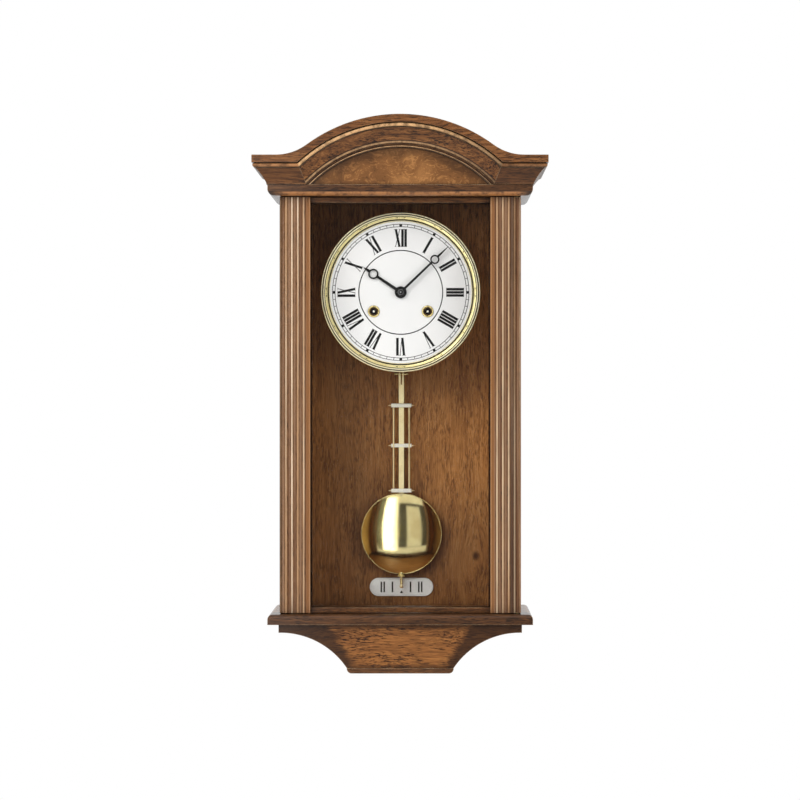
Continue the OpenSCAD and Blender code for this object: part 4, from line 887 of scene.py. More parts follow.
class Mould:
    """One mesh under construction, in millimetres."""

    def __init__(self) -> None:
        """Starts with nothing."""
        self.mesh = bmesh.new()

    def prism(self, outline: Sequence[Flat], front: float, back: float) -> "Mould":
        """Adds a flat shape in x and z, from one plane back to another."""
        near = [self.mesh.verts.new((x, front, z)) for x, z in outline]
        far = [self.mesh.verts.new((x, back, z)) for x, z in outline]
        self.mesh.faces.new(near)
        self.mesh.faces.new(far[::-1])
        for here in range(len(outline)):
            there = (here + 1) % len(outline)
            self.mesh.faces.new((near[here], far[here], far[there], near[there]))
        return self

    def hoop(self, centre: Vector, side: Vector, over: Vector, radius: float,
             count: int) -> list[bmesh.types.BMVert]:
        """Sets points round a circle that lies in the plane of two directions."""
        return [self.mesh.verts.new(centre + radius * (
            side * math.cos(2 * math.pi * step / count) + over * math.sin(2 * math.pi * step / count)))
            for step in range(count)]

    def skin(self, rings: list[list[bmesh.types.BMVert]], closed: bool = False, ends: bool = False) -> "Mould":
        """Joins each ring to the next.

        Args:
            rings: The rings, with equal numbers of points.
            closed: Whether the last ring joins the first.
            ends: Whether the first and the last ring are filled.

        Returns:
            The mould.
        """
        for low, high in zip(rings, rings[1:] + rings[:1] if closed else rings[1:]):
            for step in range(len(low)):
                after = (step + 1) % len(low)
                self.mesh.faces.new((low[step], low[after], high[after], high[step]))
        if ends:
            self.mesh.faces.new(rings[0][::-1])
            self.mesh.faces.new(rings[-1])
        return self

    def spindle(self, profile: Sequence[Flat], base: Spot, along: Spot = FRONTWARDS, turns: int = 64,
                closed: bool = False) -> "Mould":
        """Turns a profile about an axis.

        Args:
            profile: Radius and distance along the axis, one pair for each ring.
            base: Where the axis starts.
            along: Its direction.
            turns: Faces round the axis.
            closed: Whether the last ring joins the first, as on a hoop.

        Returns:
            The mould.
        """
        axis = Vector(along).normalized()
        side = axis.orthogonal().normalized()
        over = axis.cross(side)
        rings = []
        for radius, reach in profile:
            rings.append(self.hoop(Vector(base) + axis * reach, side, over, radius, turns))
        return self.skin(rings, closed)

    def wire(self, path: Sequence[Spot], radius: float, sides: int = 10, loop: bool = False) -> "Mould":
        """Adds a round wire along a path."""
        points = [Vector(point) for point in path]
        count = len(points)
        rings = []
        side = None
        for here, point in enumerate(points):
            before = points[here - 1] if here or loop else point
            after = points[(here + 1) % count] if here < count - 1 or loop else point
            ahead = (after - before).normalized()
            side = ahead.orthogonal() if side is None else side - ahead * side.dot(ahead)
            side = side.normalized()
            rings.append(self.hoop(point, side, ahead.cross(side), radius, sides))
        return self.skin(rings, loop, not loop)

    def loft(self, rings: Sequence[Sequence[Spot]]) -> "Mould":
        """Joins rings of points to a closed skin with flat ends."""
        return self.skin([[self.mesh.verts.new(point) for point in ring] for ring in rings], ends=True)

    def bar(self, low: Spot, high: Spot) -> "Mould":
        """Adds a square-edged bar between two corners."""
        (x0, y0, z0), (x1, y1, z1) = low, high
        return self.prism(((x0, z0), (x1, z0), (x1, z1), (x0, z1)), y0, y1)

    def cast(self, name: str, finish: Finish, bevel: float = 0.0, smooth: float = 40.0) -> bpy.types.Object:
        """Ends the mould as an object in metres.

        Args:
            name: The object's name.
            finish: What it is made of.
            bevel: Width of the softened edges.
            smooth: Angle in degrees below which faces shade as one.

        Returns:
            The object.
        """
        bmesh.ops.remove_doubles(self.mesh, verts=self.mesh.verts, dist=1e-4)
        bmesh.ops.recalc_face_normals(self.mesh, faces=self.mesh.faces)
        bmesh.ops.transform(self.mesh, matrix=Matrix.Scale(MM, 4), verts=self.mesh.verts)
        mesh = bpy.data.meshes.new(name)
        self.mesh.to_mesh(mesh)
        self.mesh.free()
        mesh.materials.append(finish.get())
        piece = hang(name, mesh)
        mesh.shade_smooth()
        mesh.set_sharp_from_angle(angle=math.radians(smooth))
        if bevel:
            softened = piece.modifiers.new("softened", "BEVEL")
            softened.width = bevel * MM
            softened.segments = 2
            softened.limit_method = "ANGLE"
            settle(piece)
        return piece

    def give(self, name: str, body: str, finish: Finish, bevel: float = 0.0,
             smooth: float = 40.0) -> bpy.types.Object:
        """Casts the mould and hands the piece to its body; takes what those two take."""
        return carry(self.cast(name, finish, bevel, smooth), body)


class Repeat:
    """A Geometry Nodes tree with named inputs, run once on one object."""

    def __init__(self, name: str, inputs: dict[str, str]) -> None:
        """Opens the tree.

        Args:
            name: The tree's name.
            inputs: Socket kinds by name, after the geometry.
        """
        self.tree = bpy.data.node_groups.new(name, "GeometryNodeTree")
        self.graph = Graph(self.tree)
        face = self.tree.interface
        face.new_socket("Geometry", in_out="INPUT", socket_type="NodeSocketGeometry")
        for label, kind in {**inputs, "Material": "Material"}.items():
            face.new_socket(label, in_out="INPUT", socket_type="NodeSocket" + kind)
        face.new_socket("Geometry", in_out="OUTPUT", socket_type="NodeSocketGeometry")
        self.given = self.graph.add("NodeGroupInput")
        self.grow()

    def grow(self) -> None:
        """Fills the tree; each kind of repeat has its own."""
        raise NotImplementedError

    def close(self, made: bpy.types.Node) -> None:
        """Realizes the copies, gives them their material and ends the tree."""
        real = self.graph.add("GeometryNodeRealizeInstances", None, {0: made})
        dressed = self.graph.add("GeometryNodeSetMaterial", None, {
            "Geometry": real, "Material": self.given.outputs["Material"]})
        self.graph.feed(self.graph.add("NodeGroupOutput"), 0, dressed)

    def run(self, host: bpy.types.Object, finish: Finish, values: dict) -> bpy.types.Object:
        """Runs the tree on a host.

        Args:
            host: The object that holds the shape or the points.
            finish: What the copies are made of.
            values: The inputs' values by name.

        Returns:
            The host, with the copies as its plain mesh.
        """
        step = host.modifiers.new(self.tree.name, "NODES")
        step.node_group = self.tree
        for item in self.tree.interface.items_tree:
            if item.in_out == "INPUT" and item.name == "Material":
                step[item.identifier] = finish.get()
            elif item.in_out == "INPUT" and item.name in values:
                step[item.identifier] = values[item.name]
        settle(host)
        host.data.set_sharp_from_angle(angle=math.radians(40.0))
        return host


class RingOfCopies(Repeat):
    """Copies of the host's own shape round a circle; the shape is drawn at twelve o'clock."""

    def __init__(self) -> None:
        """Names the ring's sizes."""
        super().__init__("ring_of_copies", {"Count": "Int", "Radius": "Float", "Lean": "Vector",
                                            "Centre": "Vector"})

    def grow(self) -> None:
        """Sets the points round the circle, turns each copy outwards and places the ring."""
        graph, given = self.graph, self.given.outputs
        index = graph.add("GeometryNodeInputIndex").outputs[0]
        angle = graph.math("DIVIDE", graph.times(index, 2 * math.pi), given["Count"])
        out = graph.axes(graph.math("SINE", angle), 0.0, graph.math("COSINE", angle))
        spots = graph.add("GeometryNodePoints", None, {
            "Count": given["Count"], "Position": graph.vector("SCALE", out, given["Radius"])})
        turned = graph.add("FunctionNodeEulerToRotation", None, {0: graph.axes(0.0, angle, 0.0)})
        copies = graph.add("GeometryNodeInstanceOnPoints", None, {
            "Points": spots, "Instance": given["Geometry"], "Rotation": turned})
        lean = graph.add("FunctionNodeEulerToRotation", None, {0: given["Lean"]})
        placed = graph.add("GeometryNodeTransform", None, {
            "Geometry": copies, "Rotation": lean, "Translation": given["Centre"]})
        self.close(placed)


class CopiesAtPoints(Repeat):
    """Copies of another object at the host's points, each turned at random about one axis."""

    def __init__(self) -> None:
        """Names the copied piece, its axis and the seed."""
        super().__init__("copies_at_points", {"Piece": "Object", "Axis": "Vector", "Seed": "Int"})

    def grow(self) -> None:
        """Sets the copies and turns their slots."""
        graph, given = self.graph, self.given.outputs
        piece = graph.add("GeometryNodeObjectInfo", None, {"Object": given["Piece"]})
        chance = graph.add("FunctionNodeRandomValue", {"data_type": "FLOAT"}, {"Seed": given["Seed"]})
        graph.feed(chance, 2, 0.0)
        graph.feed(chance, 3, math.pi)
        turned = graph.add("FunctionNodeAxisAngleToRotation", None, {
            "Axis": given["Axis"], "Angle": chance.outputs[1]})
        copies = graph.add("GeometryNodeInstanceOnPoints", None, {
            "Points": given["Geometry"], "Instance": piece.outputs["Geometry"], "Rotation": turned})
        self.close(copies)


class ScrewThread(Repeat):
    """A round ridge that climbs a stem in a helix."""

    def __init__(self) -> None:
        """Names the thread's sizes."""
        super().__init__("screw_thread", {"Radius": "Float", "Turns": "Float", "Length": "Float",
                                          "Ridge": "Float", "Base": "Vector"})

    def grow(self) -> None:
        """Winds the helix and gives it a small round section."""
        graph, given = self.graph, self.given.outputs
        helix = graph.add("GeometryNodeCurveSpiral", None, {
            "Resolution": 20, "Rotations": given["Turns"], "Start Radius": given["Radius"],
            "End Radius": given["Radius"], "Height": given["Length"]})
        section = graph.add("GeometryNodeCurvePrimitiveCircle", None, {"Resolution": 6, "Radius": given["Ridge"]})
        ridge = graph.add("GeometryNodeCurveToMesh", None, {
            "Curve": helix, "Profile Curve": section, "Fill Caps": True})
        placed = graph.add("GeometryNodeTransform", None, {"Geometry": ridge, "Translation": given["Base"]})
        self.close(placed)


class Workshop:
    """The trees that several sub-assemblies share, and the making of rows of screws."""

    def __init__(self) -> None:
        """Makes the trees."""
        self.ring = RingOfCopies()
        self.points = CopiesAtPoints()
        self.thread = ScrewThread()

    def screws(self, name: str, body: str, places: Iterable[Spot], radius: float, way: Spot,
               finish: Finish = Finish.BLUED_STEEL, proud: float = 0.0) -> bpy.types.Object:
        """Sets a row of slotted screws.

        Args:
            name: The piece's name.
            body: The body that it rides on.
            places: Where each head meets its surface.
            radius: Radius of the heads.
            way: The direction that the heads face.
            finish: What they are made of.
            proud: Height of the heads above the surface.

        Returns:
            The piece.
        """
        rise = proud or 0.45 * radius
        start = math.degrees(math.asin(0.14))
        head = Mould()
        for reach in (-radius, radius):
            head.prism(arc((0.0, 0.0), (reach, reach), start, 180.0 - start, 14), -rise, -0.35 * rise)
        head.spindle(((0.0, -0.2 * radius), (radius, -0.2 * radius), (radius, 0.4 * rise), (0.0, 0.4 * rise)),
                     (0.0, 0.0, 0.0), turns=28)
        master = head.cast(name + "_master", finish, bevel=0.06 * radius)
        facing = Vector(way).normalized()
        master.data.transform(Vector(FRONTWARDS).rotation_difference(facing).to_matrix().to_4x4())
        points = bpy.data.meshes.new(name)
        points.from_pydata([tuple(value * MM for value in place) for place in places], [], [])
        host = hang(name, points)
        self.points.run(host, finish, {"Piece": master, "Axis": tuple(facing), "Seed": len(name)})
        bpy.data.objects.remove(master)
        return carry(host, body)


def dress(finish: Finish, *nodes: str) -> None:
    """Gives carried-over solids their finish."""
    for name in nodes:
        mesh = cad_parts[name].data
        mesh.materials.clear()
        mesh.materials.append(finish.get())
        LOG.info("%s is finished in %s", name, finish.name)


@dataclass
class CaseWork:
    """The boards of the case, the crown and the apron."""

    post_places: tuple[Flat, ...] = POSTS

    def build(self, shop: Workshop) -> None:
        """Dresses the boards and sets the screws at the back.

        Args:
            shop: The shared trees.
        """
        dress(Finish.BACK, "back_panel")
        dress(Finish.WALNUT_SIDE, "side_panels")
        dress(Finish.WALNUT_SHELF, "shelf_board")
        dress(Finish.WALNUT_BASE, "base_moulding")
        dress(Finish.WALNUT_WIDE, "top_board", "door_rails", "glass_stops")
        dress(Finish.WALNUT_TOP, "pediment_board")
        dress(Finish.WALNUT_CROWN, "cornice_mouldings")
        dress(Finish.WALNUT_ARCH, "arch_moulding")
        dress(Finish.BURL, "burl_panel")
        dress(Finish.RAW_WOOD, "crown_roof", "crown_blocks")
        dress(Finish.WALNUT_APRON, "apron_front")
        dress(Finish.WALNUT_DEEP, "apron_sides")
        dress(Finish.WALNUT_DARK, "apron_foot")
        shop.screws("movement_fixing_screws", "case",
                    [(x, -0.3, DIAL_HEIGHT + z) for x, z in self.post_places], 3.4, BACKWARDS,
                    Finish.STEEL, proud=0.5)


@dataclass
class WallFittings:
    """The hanger plate, the beat plate and the door magnet."""

    beat_height: float = -453.6
    beat_width: float = 78.8
    beat_depth: float = 22.7
    beat_face: float = -12.0
    rim: float = 0.8
    stroke: float = 1.9
    mark_height: float = 12.8
    single_at: float = 11.2
    double_at: tuple[float, float] = (21.4, 25.0)
    pin_at: float = 35.0
    hanger_screw: Flat = (9.6, 13.5)

    def stadium(self, inset: float, steps: int = 20) -> list[Flat]:
        """Gives the beat plate's outline, drawn in by an inset."""
        radius = self.beat_depth / 2 - inset
        straight = (self.beat_width - self.beat_depth) / 2
        return [point for middle, start in ((straight, -90.0), (-straight, 90.0)) for point in arc(
            (middle, self.beat_height), (radius, radius), start, start + 180.0, steps)]

    def beat_marks(self) -> Mould:
        """Draws the beat plate's strokes and its centre pointer."""
        marks = Mould()
        low, high = self.beat_height - self.mark_height / 2, self.beat_height + self.mark_height / 2
        front, back = self.beat_face - 0.05, self.beat_face + 0.05
        for side in (-1, 1):
            for place in (self.single_at, *self.double_at):
                middle = side * place
                half = self.stroke / 2
                marks.prism(((middle - half, low), (middle + half, low), (middle + half, high),
                             (middle - half, high)), front, back)
                for end in (low, high):
                    marks.prism(((middle - 1.5 * half, end - 0.12), (middle + 1.5 * half, end - 0.12),
                                 (middle + 1.5 * half, end + 0.12), (middle - 1.5 * half, end + 0.12)),
                                front, back)
        marks.prism(((-2.0, low - 1.2), (2.0, low - 1.2), (0.0, low + 2.2)), front, back)
        return marks

    def build(self, shop: Workshop) -> None:
        """Makes the fittings' fine pieces.

        Args:
            shop: The shared trees.
        """
        dress(Finish.STEEL, "hanger_plate", "catch_magnet")
        dress(Finish.SILVERED, "beat_plate")
        dress(Finish.BRASS_BRIGHT, "pivot_bushes")
        path = [(x, self.beat_face, z) for x, z in self.stadium(self.rim)]
        Mould().wire(path, self.rim, 8, loop=True).give("beat_plate_rim", "case", Finish.SILVERED)
        self.beat_marks().give("beat_plate_marks", "case", Finish.PRINT_BLACK)
        shop.screws("beat_plate_pins", "case", [(side * self.pin_at, self.beat_face, self.beat_height)
                                                for side in (-1, 1)], 1.1, FRONTWARDS, Finish.SILVERED)
        x, z = self.hanger_screw
        shop.screws("hanger_screws", "case", [(side * x, -0.2, z) for side in (-1, 1)], 2.2,
                    BACKWARDS, Finish.STEEL, proud=0.35)


@dataclass
class GlazedDoor:
    """The fluted door with its glass and hardware."""

    catch: Spot = (-124.2, -118.7, -228.0)
    catch_reach: float = 8.0

    def build(self, shop: Workshop) -> None:
        """Dresses the door and sets its screws.

        Args:
            shop: The shared trees.
        """
        dress(Finish.WALNUT_LEFT, "door_stile_left")
        dress(Finish.WALNUT_RIGHT, "door_stile_right")
        dress(Finish.GLASS, "door_glass")
        dress(Finish.BRASS_BRIGHT, "door_pivots")
        dress(Finish.STEEL, "catch_plate")
        x, y, z = self.catch
        shop.screws("catch_plate_screws", "door", [(x, y, z + side * self.catch_reach) for side in (-1, 1)], 1.9,
                    BACKWARDS, Finish.STEEL, proud=0.3)


@dataclass
class DialFace:
    """The printed dial with its bezel and winding holes."""

    height: float = DIAL_HEIGHT
    face: float = -94.0
    ink: float = 0.06
    rim: float = 85.5
    bezel: float = 96.3
    track_outer: float = 82.3
    track_inner: float = 79.2
    track_line: float = 0.7
    figure_top: float = 76.3
    figure_low: float = 54.9
    inner_ring: float = 50.6
    inner_line: float = 1.25
    hour_square: float = 3.5
    thick: float = 3.05
    thin: float = 0.75
    serif: float = 0.45
    gap: float = 3.75
    vee: float = 7.4
    cross: float = 7.6
    wind_x: float = 32.5
    wind_z: float = 23.0
    leaves: int = 12
    leaf_slope: float = 15.0
    well: tuple[Flat, ...] = ((5.0, -0.2), (5.0, -5.6), (3.3, -5.6), (3.3, -5.3), (4.7, -5.3), (4.7, -0.2))

    @property
    def centre(self) -> Spot:
        """The middle of the dial's face."""
        return 0.0, self.face, self.height

    def strokes(self, figure: str) -> list[list[Flat]]:
        """Draws one Roman figure about its middle.

        Args:
            figure: The figure's letters.

        Returns:
            The outlines of its strokes, with z from 0 at its foot.
        """
        tall = self.figure_top - self.figure_low
        widths = {"I": self.gap, "V": self.vee + 0.6, "X": self.cross + 0.4}
        cursor = -sum(widths[letter] for letter in figure) / 2
        made: list[list[Flat]] = []

        def slant(x_low: float, x_high: float, wide: float) -> None:
            """Adds one stroke between the figure's foot and its top."""
            half = wide / 2
            made.append([(x_low - half, 0.0), (x_low + half, 0.0), (x_high + half, tall), (x_high - half, tall)])

        def foot(x: float, z: float, wide: float) -> None:
            """Adds a serif."""
            half, deep = wide / 2, self.serif
            made.append([(x - half, z), (x + half, z), (x + half, z + deep), (x - half, z + deep)])

        for letter in figure:
            wide = widths[letter]
            middle = cursor + wide / 2
            if letter == "I":
                slant(middle, middle, self.thick)
                for z in (0.0, tall - self.serif):
                    foot(middle, z, self.gap + 0.15)
            elif letter == "V":
                reach = self.vee / 2 - self.thick / 2
                slant(middle, middle - reach, self.thick * 0.94)
                slant(middle + 0.5, middle + reach + 0.5, self.thin)
                foot(middle - reach, tall - self.serif, self.thick + 1.5)
                foot(middle + reach + 0.5, tall - self.serif, 2.4)
            else:
                reach = self.cross / 2 - self.thick / 2
                slant(middle + reach, middle - reach, self.thick * 0.94)
                slant(middle - reach - 0.3, middle + reach + 0.3, self.thin)
                for side, z in ((-1, tall - self.serif), (1, 0.0)):
                    foot(middle + side * reach, z, self.thick + 1.5)
                    foot(middle - side * (reach + 0.3), z, 2.3)
            cursor += wide
        return made

    def figures(self) -> Mould:
        """Sets the twelve figures round the dial with their heads outwards."""
        print_mould = Mould()
        names = ("XII", "I", "II", "III", "IIII", "V", "VI", "VII", "VIII", "IX", "X", "XI")
        for hour, name in enumerate(names):
            turn = math.radians(30.0 * hour)
            for level, outline in enumerate(self.strokes(name)):
                placed = []
                for x, z in outline:
                    reach = z + self.figure_low
                    placed.append((x * math.cos(turn) + reach * math.sin(turn),
                                   self.height - x * math.sin(turn) + reach * math.cos(turn)))
                print_mould.prism(placed, self.face - self.ink - 0.0007 * level, self.face + 0.02)
        return print_mould

    def ring(self, mould: Mould, radius: float, wide: float) -> None:
        """Adds a thin printed circle."""
        low, high = radius - wide / 2, radius + wide / 2
        mould.spindle(((low, -0.02), (high, -0.02), (high, self.ink), (low, self.ink)),
                      self.centre, turns=180, closed=True)

    def bezel_profile(self) -> list[Flat]:
        """Gives the bezel's section, from the glass side round to its hidden back."""
        rim, out = self.rim, self.bezel
        section = [(rim + 0.9, 0.0), (rim + 0.9, 0.9), (rim + 2.4, 1.2), (rim + 2.55, 2.9)]
        section += [(rim + 2.65 + 2.95 * step / 10, 3.3 + 0.75 * math.sin(math.pi / 2 * step / 10))
                    for step in range(11)]
        section += [(rim + 5.75, 3.4), (out - 2.5, 3.35), (out - 1.6, 3.35), (out - 1.3, 3.6)]
        section += arc((out - 0.9, 2.2), (0.9, 1.5), 90.0, 0.0, 6)
        section += [(out, -8.0), (out - 1.6, -8.0), (out - 1.6, 0.0)]
        return section

    def bezel_trim(self) -> None:
        """Adds the two rolls and the inner step in a pale painted highlight, and dark rings in the grooves as
        painted shade.
        """
        pale = Mould()
        rim = self.rim
        for roll, half, rise in ((self.bezel - 0.95, 0.75, 3.25), (self.bezel - 3.6, 0.95, 3.3)):
            pale.spindle(arc((roll, rise), (half, 0.75), 0.0, 340.0, 17), self.centre, turns=180, closed=True)
        pale.spindle(((rim + 0.02, 0.0), (rim + 1.15, 0.0), (rim + 1.15, 1.35), (rim + 0.95, 1.6), (rim + 0.4, 1.6),
                      (rim + 0.02, 1.1)), self.centre, turns=180, closed=True)
        pale.give("bezel_rolls", "case", Finish.BEZEL_HIGHLIGHT, smooth=50.0)
        lines = Mould()
        for low, high, rise in ((rim + 1.25, rim + 2.7, 3.2), (rim + 5.6, rim + 6.3, 3.75),
                                (self.bezel - 2.7, self.bezel - 1.6, 3.75)):
            lines.spindle(((low, rise - 0.3), (high, rise - 0.3), (high, rise), (low, rise)), self.centre,
                          turns=180, closed=True)
        lines.give("bezel_lines", "case", Finish.BRASS_SHADE_AND_PATINA)

    def build(self, shop: Workshop) -> None:
        """Makes the dial.

        Args:
            shop: The shared trees.
        """
        dress(Finish.ENAMEL, "dial_plate")
        dress(Finish.BRASS_BRIGHT, "winding_grommets")
        dress(Finish.BRASS_PLATE, "dial_feet")
        self.figures().give("dial_figures", "case", Finish.PRINT_BLACK)
        circles = Mould()
        for radius, wide in ((self.track_outer, self.track_line), (self.track_inner, self.track_line),
                             (self.inner_ring, self.inner_line)):
            self.ring(circles, radius, wide)
        circles.give("dial_circles", "case", Finish.PRINT_BLACK)
        centre = (0.0, self.face * MM, self.height * MM)
        middle = (self.track_outer + self.track_inner) / 2
        for name, count, half_wide, half_tall, lift in (
                ("minute_ticks", 60, 0.33, (self.track_outer - self.track_inner) / 2, self.ink),
                ("hour_squares", 12, self.hour_square / 2.15, self.hour_square / 2, self.ink * 1.3)):
            tick = Mould().bar((-half_wide, -lift, -half_tall), (half_wide, 0.02, half_tall))
            piece = tick.cast("dial_" + name, Finish.PRINT_BLACK)
            shop.ring.run(piece, Finish.PRINT_BLACK, {
                "Count": count, "Radius": middle * MM, "Lean": (0.0, 0.0, 0.0), "Centre": centre})
            carry(piece, "case")
        # Dark sleeves in the winding holes: painted shade.
        wells = Mould()
        for side in (-1, 1):
            wells.spindle(self.well, (side * self.wind_x, self.face, self.height - self.wind_z), turns=40,
                          closed=True)
        wells.give("winding_wells", "case", Finish.WELL_SHADE)
        hoop = Mould().spindle(self.bezel_profile(), self.centre, turns=192, closed=True)
        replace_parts(hoop.give("bezel_spun", "case", Finish.BEZEL_GOLD, smooth=30.0), "dial_bezel")
        self.bezel_trim()
        self.engraving(shop)

    def engraving(self, shop: Workshop) -> None:
        """Cuts pairs of small leaves round the bezel's broad band."""
        leaf = Mould()
        slope = math.radians(self.leaf_slope)
        for side in (-1, 1):
            outline = ((side * 3.0, -0.35), (side * 3.7, 0.45), (side * 5.0, 0.6), (side * 6.2, 0.1),
                       (side * 5.2, -0.3), (side * 4.0, -0.55))
            leaf.prism(outline, -0.05, 0.05)
            leaf.prism(((side * 0.9, -0.2), (side * 2.2, 0.12), (side * 2.2, -0.2), (side * 1.4, -0.4)), -0.05, 0.05)
        bmesh.ops.rotate(leaf.mesh, cent=(0, 0, 0), matrix=Matrix.Rotation(-slope, 3, "X"), verts=leaf.mesh.verts)
        piece = leaf.cast("bezel_engraving", Finish.BRASS_SHADE_AND_PATINA)
        shop.ring.run(piece, Finish.BRASS_SHADE_AND_PATINA, {
            "Count": self.leaves, "Radius": (self.rim + 4.3) * MM, "Lean": (0.0, 0.0, 0.0),
            "Centre": (0.0, (self.face - 4.02) * MM, self.height * MM)})
        carry(piece, "case")


@dataclass
class Hands:
    """The hands with their collets and the nut that holds them."""

    height: float = DIAL_HEIGHT
    hour_plane: float = -96.5
    minute_plane: float = -99.5
    hour_collet: tuple[Flat, ...] = ((3.3, 0.0), (7.15, 0.0), (7.15, 0.1), (6.9, 0.35), (6.2, 0.5), (5.6, 0.42),
                                     (5.2, 0.8), (4.4, 1.1), (3.4, 1.2))
    minute_collet: tuple[Flat, ...] = ((2.1, 0.0), (4.6, 0.0), (4.6, 0.1), (4.3, 0.3), (3.7, 0.4), (2.2, 0.42))
    nut: tuple[Flat, ...] = ((0.0, 0.2), (2.9, 0.2), (2.95, 0.5), (2.75, 1.1), (2.5, 1.35))
    tip: tuple[Flat, ...] = ((0.0, 2.7), (0.95, 2.7), (0.95, 3.0), (0.6, 3.16), (0.0, 3.18))

    def build(self) -> None:
        """Dresses the hands and turns their collets."""
        dress(Finish.HAND_BLACK, "hour_hand", "minute_hand")
        dress(Finish.BRASS_PLATE, "hour_wheel")
        Mould().spindle(self.hour_collet, (0.0, self.hour_plane, self.height), turns=72, closed=True).give(
            "hour_collet", "hour", Finish.HAND_BLACK, smooth=50.0)
        front = (0.0, self.minute_plane, self.height)
        Mould().spindle(self.minute_collet, front, turns=64, closed=True).give(
            "minute_collet", "centre", Finish.HAND_BLACK, smooth=50.0)
        nut = [*self.nut, *arc((0.0, 1.35), (2.45, 1.8), 0.0, 90.0, 10)[1:]]
        piece = Mould().spindle(nut, front, turns=48).give("hand_nut_domed", "centre", Finish.NUT_BLACK, smooth=60.0)
        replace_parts(piece, "hand_nut")
        bright = Mould().spindle(self.tip, front, turns=24)
        bright.spindle(arc((3.35, 0.45), (0.2, 0.2), 0.0, 324.0, 9), front, turns=48, closed=True)
        bright.give("hand_nut_tip", "centre", Finish.STEEL, smooth=50.0)


@dataclass
class Movement:
    """The brass movement behind the dial, with its gong and hammer."""

    height: float = DIAL_HEIGHT
    front_plate: float = -84.0
    pillars: tuple[Flat, ...] = POSTS
    barrels: tuple[Flat, ...] = ((32.5, -23.0), (-32.5, -23.0))
    arbor_end: float = -92.0
    cock_screw: Spot = (8.0, -34.2, 51.5)

    def build(self, shop: Workshop) -> None:
        """Dresses the movement and makes its screws and click springs.

        Args:
            shop: The shared trees.
        """
        dress(Finish.BRASS_PLATE, "front_plate", "back_plate", "time_barrel", "strike_barrel", "centre_wheel",
              "minute_wheel", "intermediate_wheel", "third_wheel", "escape_wheel", "strike_second_wheel",
              "strike_third_wheel", "suspension_cock", "plate_pillars")
        dress(Finish.BLUED_STEEL, "time_winding_arbor", "strike_winding_arbor")
        dress(Finish.STEEL, "movement_posts", "time_click", "strike_click", "cannon_pinion", "anchor",
              "gong_hammer", "fly")
        dress(Finish.BLUED_STEEL, "coil_gong")
        shop.screws("pillar_screws", "case", [(x, self.front_plate - 2.6, self.height + z)
                                              for x, z in self.pillars], 2.4, FRONTWARDS)
        x, y, z = self.cock_screw
        shop.screws("cock_screws", "case", [(side * x, y, self.height + z) for side in (-1, 1)], 1.6, BACKWARDS)
        springs = Mould()
        for x, z in self.barrels:
            path = [(x + 14.6 - 9.0 * step / 12, self.front_plate - 1.2,
                     self.height + z - 17.4 - 2.6 * math.sin(math.pi * step / 12)) for step in range(13)]
            springs.wire(path, 0.35, 8)
        springs.give("click_springs", "case", Finish.STEEL)
        # The arbors' ends take the pale painted highlight.
        for (x, z), body in zip(self.barrels, ("time_winding", "strike_winding")):
            tip = Mould().spindle(((0.0, -0.2), (1.35, -0.2), (1.35, 0.1), (0.9, 0.45), (0.0, 0.5)),
                                  (x, self.arbor_end, self.height + z), turns=24)
            tip.give(body + "_tip", body, Finish.BRASS_PALE_HIGHLIGHT, smooth=50.0)


